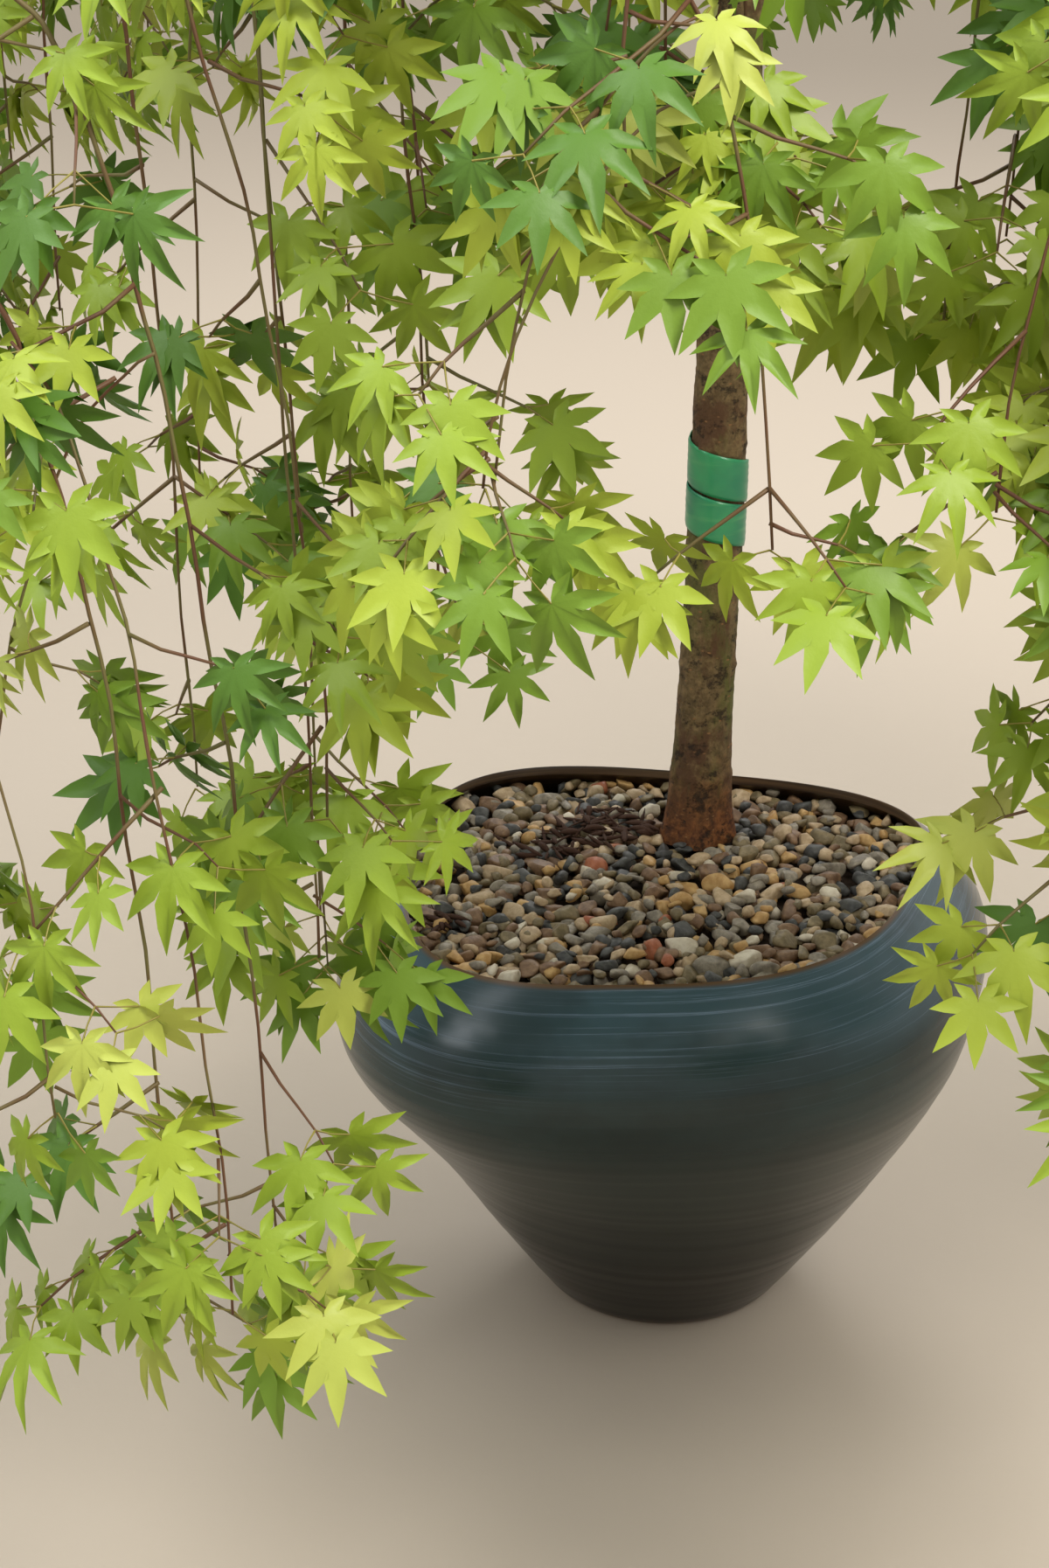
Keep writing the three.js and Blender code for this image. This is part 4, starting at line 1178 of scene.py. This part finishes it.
def leaf_shape(number):
    """One leaf of unit length in its own frame: x across, y along the middle lobe and z out of its face."""
    chance = np.random.default_rng(40 + number)
    droop, curl = chance.uniform(0.08, 0.4), chance.uniform(-0.05, 0.22)
    fold, width = chance.uniform(0.03, 0.09), chance.uniform(0.125, 0.16)
    lobes = [(math.radians(a + chance.uniform(-5, 5)), r * chance.uniform(0.93, 1.05)) for a, r in LEAF_LOBES]

    def bent(angle, reach, aside=0.0, sink=0.0):
        """A corner at an angle and reach from the hub, on the drooping and curling face of the leaf."""
        x = reach * math.sin(angle) + aside * math.cos(angle)
        y = reach * math.cos(angle) - aside * math.sin(angle)
        far = math.hypot(x, y)
        return (x, y, -droop * far * far - curl * far**4 - sink)

    heel = math.radians(LEAF_HEEL_DEGREES)
    pairs = zip(lobes, lobes[1:])
    notches = [((a + b) / 2, LEAF_NOTCH * min(p, q) ** 0.8) for (a, p), (b, q) in pairs]
    notches = [(-heel, LEAF_HEEL), *notches, (heel, LEAF_HEEL)]
    corners = [(0.0, 0.0, 0.0)] + [bent(*notch) for notch in notches]
    triangles = []
    for i, (angle, reach) in enumerate(lobes):
        before, after = i + 1, i + 2
        rib, left, left2, right, right2, tip = range(len(corners), len(corners) + 6)
        wide = width * reach**0.6
        corners.append(bent(angle, reach * LOBE_FOLD, 0, fold))
        corners += [bent(angle, reach * along, wide * aside) for along, aside in LOBE_OUTLINE]
        triangles += [
            (0, rib, before), (before, rib, left), (left, rib, left2), (left2, rib, tip),
            (rib, right2, tip), (rib, right, right2), (rib, after, right), (0, after, rib),
        ]
    return np.array(corners), np.array(triangles)


def build_leaves(leaves):
    shapes = [leaf_shape(number) for number in range(LEAF_SHAPES)]
    parts = {name: [] for name in TINTS}
    for hub, _, across, along, face, size, shape, tint in leaves:
        corners, triangles = shapes[shape]
        parts[tint].append((hub + size * (corners @ np.array([across, along, face])), triangles))
    for name, (colour, _) in TINTS.items():
        paint = paint_plain(f"leaf_{name}", colour, 0.5, 500, 0.0002)
        build_piece(f"leaves_{name}", paint, FOLIAGE_NODES, parts[name])


def build_soil():
    """The mix under the gravel keeps its CAD shape."""
    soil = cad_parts["soil"]
    soil.data.materials.clear()
    soil.data.materials.append(paint_plain("soil_mix", (0.04, 0.026, 0.017), 0.95, 240, 0.002, 0.2))


FLOOR_HALF = 9
WORLD_COLOUR = (1, 0.97, 0.92, 1)
WORLD_STRENGTH = 0.75

# Soft lights: name, place, target, size, power and colour.
LIGHTS = [
    ("key", (1.3, -1.5, 2.6), (0, 0, 0.3), 1.1, 70, (1, 0.97, 0.92)),
    ("fill", (-1.5, -0.5, 2.5), (0, 0, 0.3), 1.8, 34, (0.9, 0.95, 1)),
    ("rim", (0.4, 2.4, 2.4), (0, 0, 0.6), 1.4, 45, (1, 1, 1)),
]


def add_area_light(name, place, target, size, power, colour):
    lamp = bpy.data.lights.new(name, "AREA")
    lamp.shape = "DISK"
    lamp.size = size
    lamp.energy = power
    lamp.color = colour
    made = add_object(name, lamp)
    made.location = place
    made.rotation_euler = (Vector(target) - Vector(place)).to_track_quat("-Z", "Y").to_euler()


def build_studio():
    floor_mesh = bpy.data.meshes.new("floor")
    corners = [(x * FLOOR_HALF, y * FLOOR_HALF, 0) for x, y in ((-1, -1), (1, -1), (1, 1), (-1, 1))]
    floor_mesh.from_pydata(corners, [], [(0, 1, 2, 3)])
    floor_mesh.materials.append(paint_plain("floor_paint", (0.5, 0.43, 0.35), 0.6, 60, 0.0005, 0.2))
    floor = add_object("floor", floor_mesh)
    world = bpy.data.worlds.new("studio")
    bpy.context.scene.world = world
    world.use_nodes = True
    background = world.node_tree.nodes["Background"]
    background.inputs["Color"].default_value = WORLD_COLOUR
    background.inputs["Strength"].default_value = WORLD_STRENGTH
    for light in LIGHTS:
        add_area_light(*light)


CAMERA_PLACE = (-0.0777, -1.4951, 0.9132)
CAMERA_DOWN_DEGREES = 22.5
PHOTO_HEIGHT_PX = 1794
FOCAL_PX = 3500
SENSOR_MM = 36


def build_camera():
    camera = add_object("camera", bpy.data.cameras.new("camera"))
    camera.data.sensor_width = SENSOR_MM
    camera.data.lens = FOCAL_PX * SENSOR_MM / PHOTO_HEIGHT_PX
    camera.location = CAMERA_PLACE
    camera.rotation_euler = (math.radians(90 - CAMERA_DOWN_DEGREES), 0, 0)
    bpy.context.scene.camera = camera


def build_plant():
    boughs, shoots, twigs, leaves = grow_crown()
    build_pot()
    build_soil()
    build_bed()
    build_gravel()
    build_chips()
    build_bark(boughs)
    build_tape()
    build_shoots(shoots, twigs, leaves)
    build_leaves(leaves)


build_camera()
build_studio()
build_plant()
bpy.context.scene.view_settings.view_transform = "Standard"
